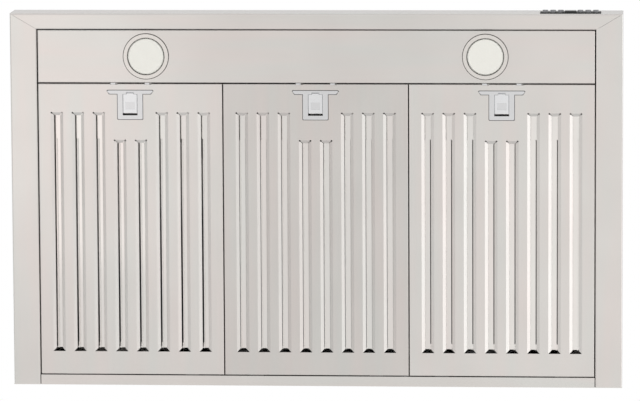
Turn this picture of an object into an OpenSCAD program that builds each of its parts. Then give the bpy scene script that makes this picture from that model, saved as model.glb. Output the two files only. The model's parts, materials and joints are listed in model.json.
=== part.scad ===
// Wall mount range hood, 36 inch class: pyramid canopy, three baffle filters,
// light panel, twin-inlet blower and a telescoping chimney cover.
// X runs to the right of a person who faces the hood, the wall is the plane y = 0,
// the hood stands out towards -Y, and z = 0 is the underside of the canopy.

/* [Canopy] */
// Width of the canopy across its outer sides
hood_w = 914; // [890:1:960]
// Depth of the canopy from the wall to its front face
hood_d = 560.5; // [540:0.5:600]
// Height of the upright band round the bottom
band_h = 62; // [58:1:90]
// Height of the canopy's flat top above its underside
canopy_h = 280; // [276:1:320]
// Thickness of the canopy, panel and cover sheet
sheet_t = 1; // [0.8:0.1:1.2]
// Outer radius of the canopy's folds
bend_r = 2.4; // [1.4:0.1:2.4]
// Outer radius of the folds round the light panel and the filters
pan_bend_r = 1.6; // [1.4:0.1:2]
// Gap of the flanges' corner mitres, measured across the hood
mitre_gap = 0.6; // [0.1:0.1:0.8]
// Width of the bottom flange at each side
side_flange_w = 41; // [38:0.5:44]
// Width of the bottom flange at the front
front_flange_w = 24.5; // [22:0.5:28]
// Height of the upturned lips round the underside
lip_h = 14; // [12:0.5:15]
// Width of the flange that turns inwards round the canopy's top
top_flange_w = 25; // [20:1:28]
// Width of the open seam round each panel and filter
seam_w = 1.2; // [1.2:0.1:1.8]
// Depth of the light panel from seam to seam
light_panel_d = 80; // [76:1:86]
// How far the light panel sits forward of its opening's middle
panel_shift = 0.3; // [0:0.1:0.5]
// Depth of the rear rail from the wall to the filters' seam
rail_d = 15.5; // [15:0.5:20]
// Height of the rear rail's channel
rail_h = 26; // [24:1:34]

/* [Baffle filters] */
// Sheet thickness of the filters
filter_t = 0.8; // [0.7:0.1:1]
// Height of a filter's pan
filter_h = 16; // [15.5:0.5:18]
// Number of slots across a filter
slot_count = 8; // [6:2:8]
// Distance from one slot to the next
slot_pitch = 31.5; // [30.8:0.1:32]
// Width of a slot between its folds
slot_w = 18.6; // [17.6:0.2:19.6]
// Width that each bent lip covers, seen from below
lip_w = 4.7; // [4.4:0.1:5.6]
// How high the inner edge of a slot's lip stands
lip_rise = 3.3; // [2.8:0.1:4.4]
// Radius of the relief holes at a slot's front corners
relief_r = 1.3; // [0.8:0.1:1.6]
// Distance from the front seam to the long slots
long_slot_front = 43.7; // [42:0.1:48]
// Distance from the front seam to the two short slots
short_slot_front = 85; // [80:1:95]
// Distance from the slots to the rear seam
slot_rear = 35.5; // [32:0.5:42]
// Height of the inner baffle sheet above the underside
baffle_z = 14; // [13.6:0.1:14.4]
// Width of each inner baffle's land
baffle_land_w = 8.2; // [7.6:0.2:9.6]
// Length of the inner baffle's downward lips
baffle_lip = 6.5; // [6:0.1:7]
// Distance by which the inner baffle stops short of the slots at the rear
baffle_short = 4; // [3:0.5:6]
// How far the left filter's inner sheet is set to the right
baffle_shift_left = 1.7; // [0:0.1:2]
// How far the middle filter's inner sheet is set to the right
baffle_shift_middle = 0; // [0:0.1:2]
// How far the right filter's inner sheet is set to the left
baffle_shift_right = 1; // [0:0.1:2]
// Length of the tabs that hook over the rear rail
tab_l = 8; // [7:0.5:10]
// Width of a hook tab
tab_w = 20; // [16:1:30]
// Distance of each hook tab from the filter's middle
tab_x = 90; // [70:1:105]

/* [Filter latches] */
// Distance from the front seam to the latch's T bar
latch_front = 10.5; // [9.6:0.1:10.6]
// Length of the T bar at its front edge
latch_bar_w = 68.9; // [66:0.1:74]
// Amount by which the T bar is shorter at its rear edge
latch_bar_taper = 7.6; // [6:0.1:12]
// Depth of the T bar
latch_bar_d = 5.3; // [5:0.1:6.5]
// Width of the T's stem
latch_stem_w = 37.5; // [36:0.1:42]
// Depth of the whole latch
latch_d = 43.4; // [42.5:0.1:47]
// Width of the channel that the sliding tab runs in
tongue_w = 22; // [20:0.5:24]
// Travel of the sliding tab towards the wall
latch_travel = 3; // [2.6:0.1:3.2]
// Distance of each latch finger from the filter's middle
finger_x = 25.6; // [24:0.2:28]
// Width of a latch finger
finger_w = 7.3; // [6:0.1:8]
// Width of the open notch beside each latch finger
notch_w = 2.8; // [1.5:0.1:4]

/* [Lamps] */
// Distance of each lamp from the hood's side
lamp_from_side = 204; // [190:1:220]
// Distance of the lamps in front of the light panel's middle line
lamp_forward = 0.5; // [-1:0.1:2]
// Outer radius of a lamp's ring
lamp_r = 34.5; // [33:0.5:36.5]
// Radius of the ring's inner edge
lamp_inner_r = 27.5; // [26.5:0.5:28]
// Width of the groove between a lamp's ring and its lens
lens_gap = 0.9; // [0.4:0.1:1.4]
// Amount by which the ring stands below the panel
ring_proud = 1.8; // [1.4:0.1:2.4]

/* [Controls] */
// Distance of the control strip's middle from the hood's right side
control_from_side = 78; // [72:1:100]
// Width of the control strip
control_w = 90.5; // [90.5:0.5:96]
// Height of the control strip
control_h = 28.5; // [26:0.5:32]
// Height of the strip's middle above the underside
control_z = 23; // [21:1:26]
// Radius of a push button
button_r = 4.2; // [3.8:0.1:4.5]
// Amount by which a button stands out of the band's face
button_proud = 4.2; // [3.4:0.1:4.6]
// Travel of a button
button_travel = 1.6; // [1.2:0.1:1.8]
// Amount by which the display stands out of the strip
display_proud = 2.8; // [0.2:0.1:3.2]

/* [Blower] */
// Width of the blower housing
blower_w = 160; // [150:1:170]
// Distance of the blower's shaft from the wall
shaft_y = 100; // [99:1:105]
// Height of the blower's shaft
shaft_z = 135; // [130:1:140]
// Smallest radius of the scroll, at its tongue
scroll_r0 = 82; // [80:1:84]
// Largest radius of the scroll, at its outlet
scroll_r1 = 115; // [110:1:118]
// Outer radius of the impeller
impeller_r = 72; // [68:0.5:74]
// Number of impeller blades
blade_count = 36; // [24:1:44]
// Radius of the motor can
motor_r = 40; // [36:1:44]
// Radius of the motor shaft
shaft_r = 4; // [3:0.5:5]

/* [Outlet] */
// Outer radius of the duct collar
collar_r = 75; // [72:0.5:76]
// Height of the duct collar above its foot
collar_h = 62; // [56:1:75]
// Distance of the collar's middle from the wall
collar_y = 140; // [138:1:142]
// Radius of the damper's pin
damper_pin_r = 1.5; // [1.2:0.1:2]

/* [Chimney] */
// Width of the lower chimney cover
chimney_w = 320; // [318:1:340]
// Depth of the lower chimney cover
chimney_d = 280; // [276:1:300]
// Height of the lower chimney cover
lower_h = 400; // [300:1:480]
// Height by which the nested upper cover shows above the lower one
upper_show = 41; // [36:1:60]
// Clearance between the two covers
cover_gap = 0.3; // [0.2:0.05:0.5]

/* [Fixings] */
// Distance between the wall screw holes across the hood
wall_hole_w = 440; // [400:1:460]
// Distance between the upper and lower wall screw holes
wall_hole_h = 140; // [120:1:150]
// Height of the lower wall screw holes
wall_hole_z = 45; // [42:1:60]
// Radius of the wall screw holes
wall_hole_r = 4; // [3:0.5:5]
// Distance between the screw holes of the chimney bracket
bracket_hole_w = 200; // [120:10:260]
// Radius of the chimney bracket's screw holes
bracket_hole_r = 3.5; // [2.5:0.5:4.5]
// Length of the chimney bracket's ears
bracket_ear = 40; // [25:1:60]
// Thickness of the chimney bracket
bracket_t = 1.2; // [1:0.1:2]
// Shank radius of the assembly screws
screw_r = 2; // [1.5:0.1:2.2]
// Clearance round a screw's shank
screw_gap = 0.1; // [0.05:0.05:0.3]

/* [Hidden] */
$fn = 64;
bend_steps = 4;
half_w = hood_w / 2;
lamp_x = half_w - lamp_from_side;
control_x = half_w - control_from_side;
run_clear = 0.05;          // radial clearance of a turning pin
part_clear = 0.3;          // room kept between pieces that move apart
inner_w = hood_w - 2 * side_flange_w;
filter_pitch = inner_w / 3;
filter_w = filter_pitch - seam_w;
front_seam_y = -hood_d + front_flange_w;
filter_seam_y = front_seam_y + light_panel_d;
filter_front_y = filter_seam_y + seam_w / 2;
panel_rear_y = filter_seam_y - seam_w / 2 - panel_shift;
filter_rear_y = -rail_d - seam_w / 2;
filter_d = filter_rear_y - filter_front_y;
slot_rear_y = -rail_d - slot_rear;
rail_front_y = -rail_d + seam_w / 2;
top_half_w = chimney_w / 2;
top_z = canopy_h - sheet_t;
flange_edge_x = half_w - side_flange_w + seam_w / 2;
flange_edge_y = front_seam_y - seam_w / 2;
head_h = 2.2;
head_r = screw_r * 1.75;
hole_r = screw_r + screw_gap;
steel = [0.84, 0.82, 0.80];
bright = [0.93, 0.93, 0.93];
zinc = [0.70, 0.71, 0.72];
dark = [0.16, 0.16, 0.17];

// Folded sheet: a path of corners becomes a strip of even thickness with rounded folds.
// The sheet lies to the left of the path.
function unit(v) = v / norm(v);
function left_of(v) = [-v.y, v.x];
function turned(v, a) = [v.x * cos(a) - v.y * sin(a), v.x * sin(a) + v.y * cos(a)];

function fold_arc(p0, p1, p2, t, r) = let (
    d1 = unit(p1 - p0),
    d2 = unit(p2 - p1),
    turn = atan2(d1.x * d2.y - d1.y * d2.x, d1 * d2),
    side = sign(turn),
    fold_r = side > 0 ? r : r - t,
    n = left_of(d1) * side,
    centre = p1 - d1 * fold_r * tan(abs(turn) / 2) + n * fold_r)
    [for (k = [0 : bend_steps]) centre - turned(n * fold_r, turn * k / bend_steps)];

function folded(path, t, r) = [
    path[0],
    for (i = [1 : len(path) - 2]) each fold_arc(path[i - 1], path[i], path[i + 1], t, r),
    path[len(path) - 1]];

function offset_at(p, i, t) = let (
    last = len(p) - 1,
    n1 = left_of(unit(i == 0 ? p[1] - p[0] : p[i] - p[i - 1])),
    n2 = left_of(unit(i == last ? p[last] - p[last - 1] : p[i + 1] - p[i])))
    p[i] + (n1 + n2) * t / (1 + n1 * n2);

function strip(path, t, r) = let (p = folded(path, t, r))
    concat(p, [for (i = [len(p) - 1 : -1 : 0]) offset_at(p, i, t)]);

// Folded strip run along X, from a path of [y, z] corners
module fold_along_x(path, t, x0, x1, r = bend_r) {
    translate([x0, 0, 0])
        rotate([90, 0, 90])
            linear_extrude(x1 - x0)
                polygon(strip(path, t, r));
}

// Folded strip run along Y, from a path of [x, z] corners
module fold_along_y(path, t, y0, y1, r = bend_r) {
    translate([0, y1, 0])
        rotate([90, 0, 0])
            linear_extrude(y1 - y0)
                polygon(strip(path, t, r));
}

// Folded strip run up Z, from a path of [x, y] corners
module fold_along_z(path, t, z0, z1, r = bend_r) {
    translate([0, 0, z0])
        linear_extrude(z1 - z0)
            polygon(strip(path, t, r));
}

module box(x0, x1, y0, y1, z0, z1) {
    translate([x0, y0, z0])
        cube([x1 - x0, y1 - y0, z1 - z0]);
}

module prism(points, z0, z1) {
    translate([0, 0, z0])
        linear_extrude(z1 - z0)
            polygon(points);
}

module rod_x(r, x0, x1, y, z) {
    translate([x0, y, z])
        rotate([0, 90, 0])
            cylinder(r = r, h = x1 - x0);
}

module rod_y(r, y0, y1, x, z) {
    translate([x, y1, z])
        rotate([90, 0, 0])
            cylinder(r = r, h = y1 - y0);
}

module rod_z(r, z0, z1, x, y) {
    translate([x, y, z0])
        cylinder(r = r, h = z1 - z0);
}

// Outline of a pan's cross-section, open at the top, with two rounded bottom corners
function pan_outline(half, z0, z1, r) = [
    [-half, z1],
    for (k = [0 : bend_steps]) [-half + r, z0 + r] + turned([-r, 0], 90 * k / bend_steps),
    for (k = [0 : bend_steps]) [half - r, z0 + r] + turned([0, -r], 90 * k / bend_steps),
    [half, z1]];

module pan_block(w, d, z0, z1, r) {
    intersection() {
        translate([0, d / 2, 0])
            rotate([90, 0, 0])
                linear_extrude(d)
                    polygon(pan_outline(w / 2, z0, z1, r));
        translate([-w / 2, 0, 0])
            rotate([90, 0, 90])
                linear_extrude(w)
                    polygon(pan_outline(d / 2, z0, z1, r));
    }
}

// Shallow pan of folded sheet, open side up, centred on the origin
module pan(w, d, h, t) {
    difference() {
        pan_block(w, d, 0, h, pan_bend_r);
        pan_block(w - 2 * t, d - 2 * t, t, h + 1, pan_bend_r - t);
    }
}

// Canopy

hip_x = top_half_w - top_flange_w;
hip_y = -chimney_d + top_flange_w;
mitre_z = lip_h + 2;
side_path = [[-hip_x, canopy_h], [-top_half_w, canopy_h], [-half_w, band_h], [-half_w, 0],
    [-flange_edge_x, 0], [-flange_edge_x, lip_h]];
front_path = [[hip_y, canopy_h], [-chimney_d, canopy_h], [-hood_d, band_h], [-hood_d, 0],
    [flange_edge_y, 0], [flange_edge_y, lip_h]];

module side_panel() {
    difference() {
        intersection() {
            fold_along_y(side_path, sheet_t, -hood_d, -sheet_t);
            union() {
                prism([[-half_w, -hood_d], [-flange_edge_x, flange_edge_y],
                    [-flange_edge_x, 0], [-half_w, 0]], 0, mitre_z);
                prism([[-half_w, -hood_d], [-top_half_w, -chimney_d], [-hip_x, hip_y],
                    [-hip_x, 0], [-half_w, 0]], mitre_z, canopy_h);
            }
        }
        for (y = panel_screw_ys)
            rod_x(hole_r, -flange_edge_x - 3, -flange_edge_x + 1, y, panel_screw_z);
        for (y = cover_screw_ys)
            rod_z(hole_r, top_z - 1, canopy_h + 1, -cover_screw_x, y);
    }
}

module canopy_left() {
    color(steel) side_panel();
}

module canopy_right() {
    color(steel)
        mirror([1, 0, 0])
            side_panel();
}

// Outline of the front flange between its corner mitres
function front_mitre(gap) = [[-half_w + gap, -hood_d], [half_w - gap, -hood_d],
    [flange_edge_x - gap, flange_edge_y], [-flange_edge_x + gap, flange_edge_y]];

module canopy_front() {
    color(steel)
        difference() {
            intersection() {
                fold_along_x(front_path, sheet_t, -half_w, half_w);
                union() {
                    prism(front_mitre(mitre_gap), 0, sheet_t);
                    prism(front_mitre(0), sheet_t, mitre_z);
                    prism([[-half_w, -hood_d], [half_w, -hood_d], [top_half_w, -chimney_d],
                        [hip_x, hip_y], [-hip_x, hip_y], [-top_half_w, -chimney_d]],
                        mitre_z, canopy_h);
                }
            }
            box(control_x - tray_w / 2 - part_clear, control_x + tray_w / 2 + part_clear,
                -hood_d - 1, -hood_d + 3,
                control_z - tray_h / 2 - part_clear, control_z + tray_h / 2 + part_clear);
        }
}

module canopy_back() {
    color(zinc)
        difference() {
            rotate([90, 0, 0])
                linear_extrude(sheet_t)
                    polygon([[-half_w, 0], [half_w, 0], [half_w, band_h],
                        [top_half_w, canopy_h], [-top_half_w, canopy_h], [-half_w, band_h]]);
            for (x = [-wall_hole_w / 2, wall_hole_w / 2], z = [wall_hole_z, wall_hole_z + wall_hole_h])
                rod_y(wall_hole_r, -sheet_t - 1, 1, x, z);
            for (x = rail_screw_xs)
                rod_y(hole_r, -sheet_t - 1, 1, x, rail_screw_z);
        }
}

module top_plate() {
    color(zinc)
        difference() {
            box(-top_half_w + 3, top_half_w - 3, -chimney_d + 3, -sheet_t,
                top_z - sheet_t, top_z);
            rod_z(collar_r - sheet_t, top_z - 3, top_z + 1, 0, -collar_y);
            for (p = blower_screw_places)
                rod_z(hole_r, top_z - 3, top_z + 1, p.x, p.y);
            for (x = [-cover_screw_x, cover_screw_x], y = cover_screw_ys)
                rod_z(hole_r, top_z - 3, top_z + 1, x, y);
            rod_z(grommet_r, top_z - 3, top_z + 1, grommet_x, grommet_y);
        }
}

// Rear rail and light panel

rail_screw_xs = [-330, 0, 330];
rail_screw_z = rail_h / 2;
panel_screw_z = lip_h / 2;
panel_screw_ys = [front_seam_y + light_panel_d * 0.22, front_seam_y + light_panel_d * 0.78];

rail_end = flange_edge_x - 0.6;

module rear_rail() {
    color(steel)
        difference() {
            union() {
                fold_along_x([[rail_front_y, 0], [-sheet_t, 0], [-sheet_t, rail_h],
                    [-rail_d + 5, rail_h]], sheet_t, -rail_end, rail_end);
                // weld that fills the rear corner square
                box(-rail_end, rail_end, -sheet_t - bend_r, -sheet_t, 0, sheet_t);
            }
            for (x = rail_screw_xs)
                rod_y(hole_r, -4, 0, x, rail_screw_z);
        }
}

module light_panel() {
    panel_d = light_panel_d - seam_w;
    color(steel)
        difference() {
            translate([0, front_seam_y + light_panel_d / 2 - panel_shift, 0])
                pan(inner_w - seam_w, panel_d, lip_h, sheet_t);
            for (x = [-lamp_x, lamp_x])
                rod_z(lamp_hole_r, -1, sheet_t + 1, x, lamp_y);
            for (x = [-inner_w / 2, inner_w / 2], y = panel_screw_ys)
                rod_x(hole_r, x - 3, x + 3, y, panel_screw_z);
            for (k = [-1 : 1], x = [-finger_x, finger_x])
                finger_notch(filter_x(k) + x, panel_rear_y);
        }
}

module panel_screws() {
    panel_side = inner_w / 2 - seam_w / 2 - sheet_t;
    color(zinc) {
        for (m = [0, 1], y = panel_screw_ys)
            mirror([m, 0, 0]) {
                rod_x(head_r, panel_side - head_h, panel_side, y, panel_screw_z);
                rod_x(screw_r, panel_side, panel_side + 6, y, panel_screw_z);
            }
        for (x = rail_screw_xs) {
            rod_y(head_r, -2 * sheet_t - head_h, -2 * sheet_t, x, rail_screw_z);
            rod_y(screw_r, -2 * sheet_t, -0.1, x, rail_screw_z);
        }
    }
}

// Lamps

lamp_y = front_seam_y + light_panel_d / 2 - lamp_forward;
lamp_hole_r = lamp_inner_r + 2.5;
cup_r = lamp_inner_r + 2;
cup_h = 24;
lens_r = lamp_inner_r - lens_gap;
lens_shelf_z = 1.2;
lens_face_z = -1.3;
lens_t = 2;
ring_edge = 1.2;
ring_steps = 5;
cup_z = 8;
chip_h = 0.8;
board_z = cup_z + 1.8;
led_board_t = 1.6;
spring_foot = lamp_hole_r + 6;
spring_top = cup_h - 3;
spring_knee = cup_h - 9;
spring_half_w = 4;
driver_half_w = 45;
driver_half_d = 14;
driver_h = 22;

module lamp_ring(x) {
    color(steel)
        translate([x, lamp_y, 0])
            rotate_extrude()
                polygon(concat([[lamp_r, 0]],
                    [for (k = [0 : ring_steps]) let (a = 90 * k / ring_steps)
                        [lamp_r - ring_edge * (1 - cos(a)), -ring_proud + ring_edge * (1 - sin(a))]],
                    [[lamp_inner_r, -ring_proud], [lamp_inner_r, lens_shelf_z],
                    [cup_r - 1, lens_shelf_z], [cup_r - 1, cup_z], [cup_r, cup_z], [cup_r, 0]]));
}

module lamp_lens(x) {
    color([0.95, 0.95, 0.92, 0.5])
        translate([x, lamp_y, 0])
            rotate_extrude()
                polygon([[0, lens_face_z], [lens_r - 1.5, lens_face_z], [lens_r, lens_face_z + 0.8],
                    [lens_r, lens_shelf_z], [cup_r - 1 - run_clear, lens_shelf_z],
                    [cup_r - 1 - run_clear, lens_shelf_z + lens_t], [0, lens_shelf_z + lens_t]]);
}

// Board with one middle chip and two rings of chips that face down
module lamp_leds(x) {
    color([0.93, 0.92, 0.85])
        translate([x, lamp_y, board_z]) {
            cylinder(r = cup_r - 3 - part_clear, h = led_board_t);
            for (ring = [[1, 0], [5, 7], [10, 15]], k = [0 : ring[0] - 1])
                rotate([0, 0, 360 * k / ring[0]])
                    translate([ring[1], 0, -chip_h])
                        cylinder(r = 1.7, h = chip_h);
        }
}

module lamp_cup(x) {
    web_top = board_z + led_board_t + 2;
    color(zinc)
        difference() {
            rod_z(cup_r, cup_z, cup_h, x, lamp_y);
            rod_z(cup_r - 3, cup_z - 1, board_z + led_board_t, x, lamp_y);
            rod_z(cup_r - 3, web_top, cup_h + 1, x, lamp_y);
        }
}

// Bent strips that press down on the panel and hold each lamp up
module lamp_springs() {
    color(zinc)
        for (x = [-lamp_x, lamp_x], m = [0, 180])
            translate([x, lamp_y, 0])
                rotate([0, 0, m])
                    fold_along_y([[cup_r, spring_top], [cup_r, spring_knee], [spring_foot - 2, sheet_t],
                        [spring_foot + 2, sheet_t], [spring_foot + 4, sheet_t + 1.6]],
                        0.6, -spring_half_w, spring_half_w, 1);
}

module lamp_driver() {
    color([0.85, 0.85, 0.83])
        box(-driver_half_w, driver_half_w, lamp_y - driver_half_d, lamp_y + driver_half_d,
            sheet_t, sheet_t + driver_h);
}

// Controls

tray_w = control_w - 2.5;
tray_h = control_h - 5;
tray_d = 15;
tray_wall = 1.2;
boss_z = tray_h / 2 - tray_wall - 3.5;
strip_proud = 0.8;
face_t = 2;
strip_y = -hood_d - strip_proud;
face_back_y = strip_y + face_t;
board_y = -hood_d + 11;
board_t = 1.6;
button_xs = [-37.5, -26, -14.5, 14.5, 26, 37.5];
lens_w = 16.8;
lens_h = 11.8;
lens_lip = 0.7;

module control_strip() {
    color(dark)
        translate([control_x, 0, control_z])
            difference() {
                union() {
                    box(-control_w / 2, control_w / 2, strip_y, -hood_d, -control_h / 2, control_h / 2);
                    box(-tray_w / 2, tray_w / 2, -hood_d, -hood_d + tray_d, -tray_h / 2, tray_h / 2);
                }
                difference() {
                    box(-tray_w / 2 + tray_wall, tray_w / 2 - tray_wall, face_back_y,
                        -hood_d + tray_d + 1, -tray_h / 2 + tray_wall, tray_h / 2 - tray_wall);
                    for (x = [-32, 32], z = [-boss_z, boss_z])
                        rod_y(1.8, face_back_y - 1, board_y, x, z);
                }
                for (x = button_xs)
                    rod_y(button_r + 0.2, strip_y - 1, face_back_y + 1, x, 0);
                box(-lens_w / 2 - 0.1, lens_w / 2 + 0.1, strip_y - 1, face_back_y + 1,
                    -lens_h / 2 - 0.1, lens_h / 2 + 0.1);
            }
}

module display_lens() {
    color([0.08, 0.08, 0.09])
        translate([control_x, 0, control_z]) {
            box(-lens_w / 2, lens_w / 2, strip_y - display_proud, face_back_y,
                -lens_h / 2, lens_h / 2);
            box(-lens_w / 2 - lens_lip, lens_w / 2 + lens_lip, face_back_y, face_back_y + 0.8,
                -lens_h / 2 - lens_lip, lens_h / 2 + lens_lip);
        }
}

module control_board() {
    switch_y = -hood_d + 8;
    color([0.10, 0.35, 0.20])
        translate([control_x, 0, control_z]) {
            box(-tray_w / 2 + tray_wall, tray_w / 2 - tray_wall, board_y, board_y + board_t,
                -tray_h / 2 + tray_wall, tray_h / 2 - tray_wall);
            for (x = button_xs)
                box(x - 3, x + 3, switch_y, board_y, -3, 3);
            box(-lens_w / 2, lens_w / 2, face_back_y + 0.8, board_y, -lens_h / 2, lens_h / 2);
        }
}

module button(i) {
    collar_y0 = face_back_y + 0.2;
    color([0.62, 0.62, 0.63])
        translate([control_x + button_xs[i - 1], 0, control_z]) {
            rod_y(button_r, -hood_d - button_proud, -hood_d + 8 - button_travel - part_clear, 0, 0);
            rod_y(button_r + 0.8, collar_y0, collar_y0 + 1, 0, 0);
        }
}

// Baffle filters

slot_l_long = slot_rear_y - (filter_seam_y + long_slot_front);

function slot_x(i) = (i - (slot_count - 1) / 2) * slot_pitch;
function is_short(i) = abs(slot_x(i)) - slot_w / 2 < latch_stem_w / 2;
function slot_front_y(i) = filter_seam_y + (is_short(i) ? short_slot_front : long_slot_front);
function filter_x(k) = k * filter_pitch;

// Room of the open notch over a latch finger and beside it, across the edge at y
module finger_notch(x, y) {
    side = finger_w / 2 + part_clear;
    box(x - side, x + side + notch_w, y - notch_d, y + notch_d, -1, bar_z + bar_t + part_clear);
}

// Outline of the T-shaped latch, grown all round by g
function latch_outline(g) = let (
    y0 = filter_seam_y + latch_front - g,
    y1 = filter_seam_y + latch_front + latch_bar_d + g,
    y2 = filter_seam_y + latch_front + latch_d + g,
    front = latch_bar_w / 2 + g,
    rear = (latch_bar_w - latch_bar_taper) / 2 + g,
    stem = latch_stem_w / 2 + g,
    nick = 1.5,
    cut = 1.2)
    [[-front + nick, y0], [front - nick, y0], [front, y0 + nick], [rear, y1], [stem, y1],
    [stem, y2 - cut], [stem - cut, y2], [-stem + cut, y2], [-stem, y2 - cut], [-stem, y1],
    [-rear, y1], [-front, y0 + nick]];

lip_a = atan(lip_rise / lip_w);
lip_off_x = filter_t * sin(lip_a);
lip_off_z = filter_t * cos(lip_a);
lip_fold = filter_t * tan(lip_a / 2);
flap_gap = 1.1;
relief_top = 3;
notch_d = 1.2;

// A slot's bent lip, rising from the fold at x = slot_w / 2 towards the slot's middle
module slot_lip(l) {
    root = slot_w / 2;
    tip = root - lip_w;
    intersection() {
        translate([0, l, 0])
            rotate([90, 0, 0])
                linear_extrude(l)
                    polygon([[root, 0], [tip, lip_rise], [tip + lip_off_x, lip_rise + lip_off_z],
                        [root + lip_fold, filter_t], [root + filter_t, filter_t],
                        [root + filter_t, 0]]);
        prism([[root + filter_t, 0], [root, 0], [tip, lip_w], [tip, l - lip_w], [root, l],
            [root + filter_t, l]], -1, lip_w + 2);
    }
}

// The flap that closes a slot's front end, bent up like the side lips
module slot_flap() {
    half = slot_w / 2 - flap_gap;
    intersection() {
        translate([-slot_w / 2, 0, 0])
            rotate([90, 0, 90])
                linear_extrude(slot_w)
                    polygon([[-filter_t, 0], [0, 0], [lip_w, lip_rise],
                        [lip_w - lip_off_x, lip_rise + lip_off_z], [-lip_fold, filter_t],
                        [-filter_t, filter_t]]);
        prism([[-half, -filter_t], [half, -filter_t], [half, 0], [half - lip_w, lip_w + 0.1],
            [-half + lip_w, lip_w + 0.1], [-half, 0]], -1, lip_w + 2);
    }
}

module filter_face(k) {
    color(steel)
        translate([filter_x(k), 0, 0])
            difference() {
                union() {
                    difference() {
                        translate([0, filter_front_y + filter_d / 2, 0])
                            pan(filter_w, filter_d, filter_h, filter_t);
                        for (i = [0 : slot_count - 1])
                            box(slot_x(i) - slot_w / 2, slot_x(i) + slot_w / 2,
                                slot_front_y(i), slot_rear_y, -1, filter_t + 1);
                    }
                    for (i = [0 : slot_count - 1])
                        translate([slot_x(i), slot_front_y(i), 0]) {
                            slot_lip(slot_rear_y - slot_front_y(i));
                            mirror([1, 0, 0])
                                slot_lip(slot_rear_y - slot_front_y(i));
                            slot_flap();
                        }
                    for (x = [-tab_x, tab_x])
                        box(x - tab_w / 2, x + tab_w / 2, filter_rear_y - filter_t,
                            filter_rear_y + tab_l, tab_z, tab_z + sheet_t);
                }
                prism(latch_outline(latch_gap), -1, filter_t + 1);
                for (x = [-finger_x, finger_x])
                    box(x - finger_w / 2 - part_clear, x + finger_w / 2 + part_clear,
                        filter_front_y - 1, filter_front_y + filter_t + 1,
                        finger_z - part_clear, bar_z + bar_t + part_clear);
                for (x = [-finger_x, finger_x])
                    finger_notch(x, filter_front_y);
                for (i = [0 : slot_count - 1], s = [-1, 1])
                    rod_z(relief_r, -1, relief_top, slot_x(i) + s * (slot_w / 2 - relief_r),
                        slot_front_y(i) + relief_r / 2);
            }
}

tab_z = sheet_t + part_clear;
baffle_front_gap = 6;
baffle_front_l = 25;
baffle_shifts = [baffle_shift_left, baffle_shift_middle, -baffle_shift_right];
most_shift = max(baffle_shift_left, baffle_shift_middle, baffle_shift_right);

module filter_baffle(k) {
    half = filter_w / 2 - pan_bend_r - most_shift - 0.1;
    y0 = filter_front_y + baffle_front_gap;
    y1 = slot_rear_y - baffle_short;
    cut_y0 = filter_seam_y + short_slot_front;
    lip_t = filter_t;
    gap_w = slot_pitch - baffle_land_w;
    color(zinc)
        translate([filter_x(k) + baffle_shifts[k + 1], 0, 0]) {
            difference() {
                box(-half, half, y0, y1, baffle_z, baffle_z + filter_t);
                for (i = [0 : slot_count - 2])
                    box(slot_x(i) + baffle_land_w / 2, slot_x(i + 1) - baffle_land_w / 2,
                        cut_y0, y1 - 8, baffle_z - 1, baffle_z + 2);
            }
            for (i = [0 : slot_count - 1], s = [-1, 1])
                translate([slot_x(i) + s * (baffle_land_w / 2 - lip_t / 2), 0, 0])
                    box(-lip_t / 2, lip_t / 2, cut_y0, y1, baffle_z - baffle_lip, baffle_z);
            // side strips that stand on the pan's floor and carry the sheet
            for (s = [-1, 1])
                translate([s * (half - filter_t / 2), 0, 0])
                    box(-filter_t / 2, filter_t / 2, y0 + baffle_front_l, y1, filter_t, baffle_z);
        }
}

// Filter latches

latch_gap = 0.8;
latch_face_z = -0.7;
seat_t = 1.4;
bar_z = filter_t + seat_t + part_clear;
bar_t = 1.2;
finger_z = filter_t + part_clear;
channel_half = tongue_w / 2;
slide_half = channel_half - 0.8;
floor_half = channel_half + 1.2;
spring_room = 3;
slide_front_y = filter_seam_y + latch_front + latch_bar_d + 0.5;
slide_l = latch_d - latch_bar_d - 0.5 - latch_travel - 6.3;
slide_rear_y = slide_front_y + slide_l;
case_rear_y = filter_seam_y + latch_front + latch_d;
spring_seat_y = case_rear_y - 4;
stem_rear_y = spring_seat_y - 12;
spring_z = 5.6;
nose_half = 5.2;
nose_l = 1.5;
nose_gap = 0.4;
nose_room = 1.8;

module latch_case(k) {
    y_front = filter_seam_y + latch_front;
    color(bright)
        translate([filter_x(k), 0, 0]) {
            difference() {
                union() {
                    prism(latch_outline(0), latch_face_z, filter_t);
                    prism(latch_outline(2.2), filter_t, filter_t + seat_t);
                }
                box(-channel_half, channel_half, slide_front_y - 0.3,
                    slide_rear_y + latch_travel + part_clear, -1, 4);
                box(-nose_half - nose_gap, nose_half + nose_gap, slide_front_y - nose_l - nose_room,
                    slide_front_y, -1, 4);
            }
            // seat for the return spring
            box(-13, 13, spring_seat_y, spring_seat_y + 1.5, filter_t, 9);
            for (s = [-1, 1])
                translate([s * 13.5, 0, 0])
                    box(-0.8, 0.8, stem_rear_y - 2, spring_seat_y + 1.5, filter_t, 6);
        }
}

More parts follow.
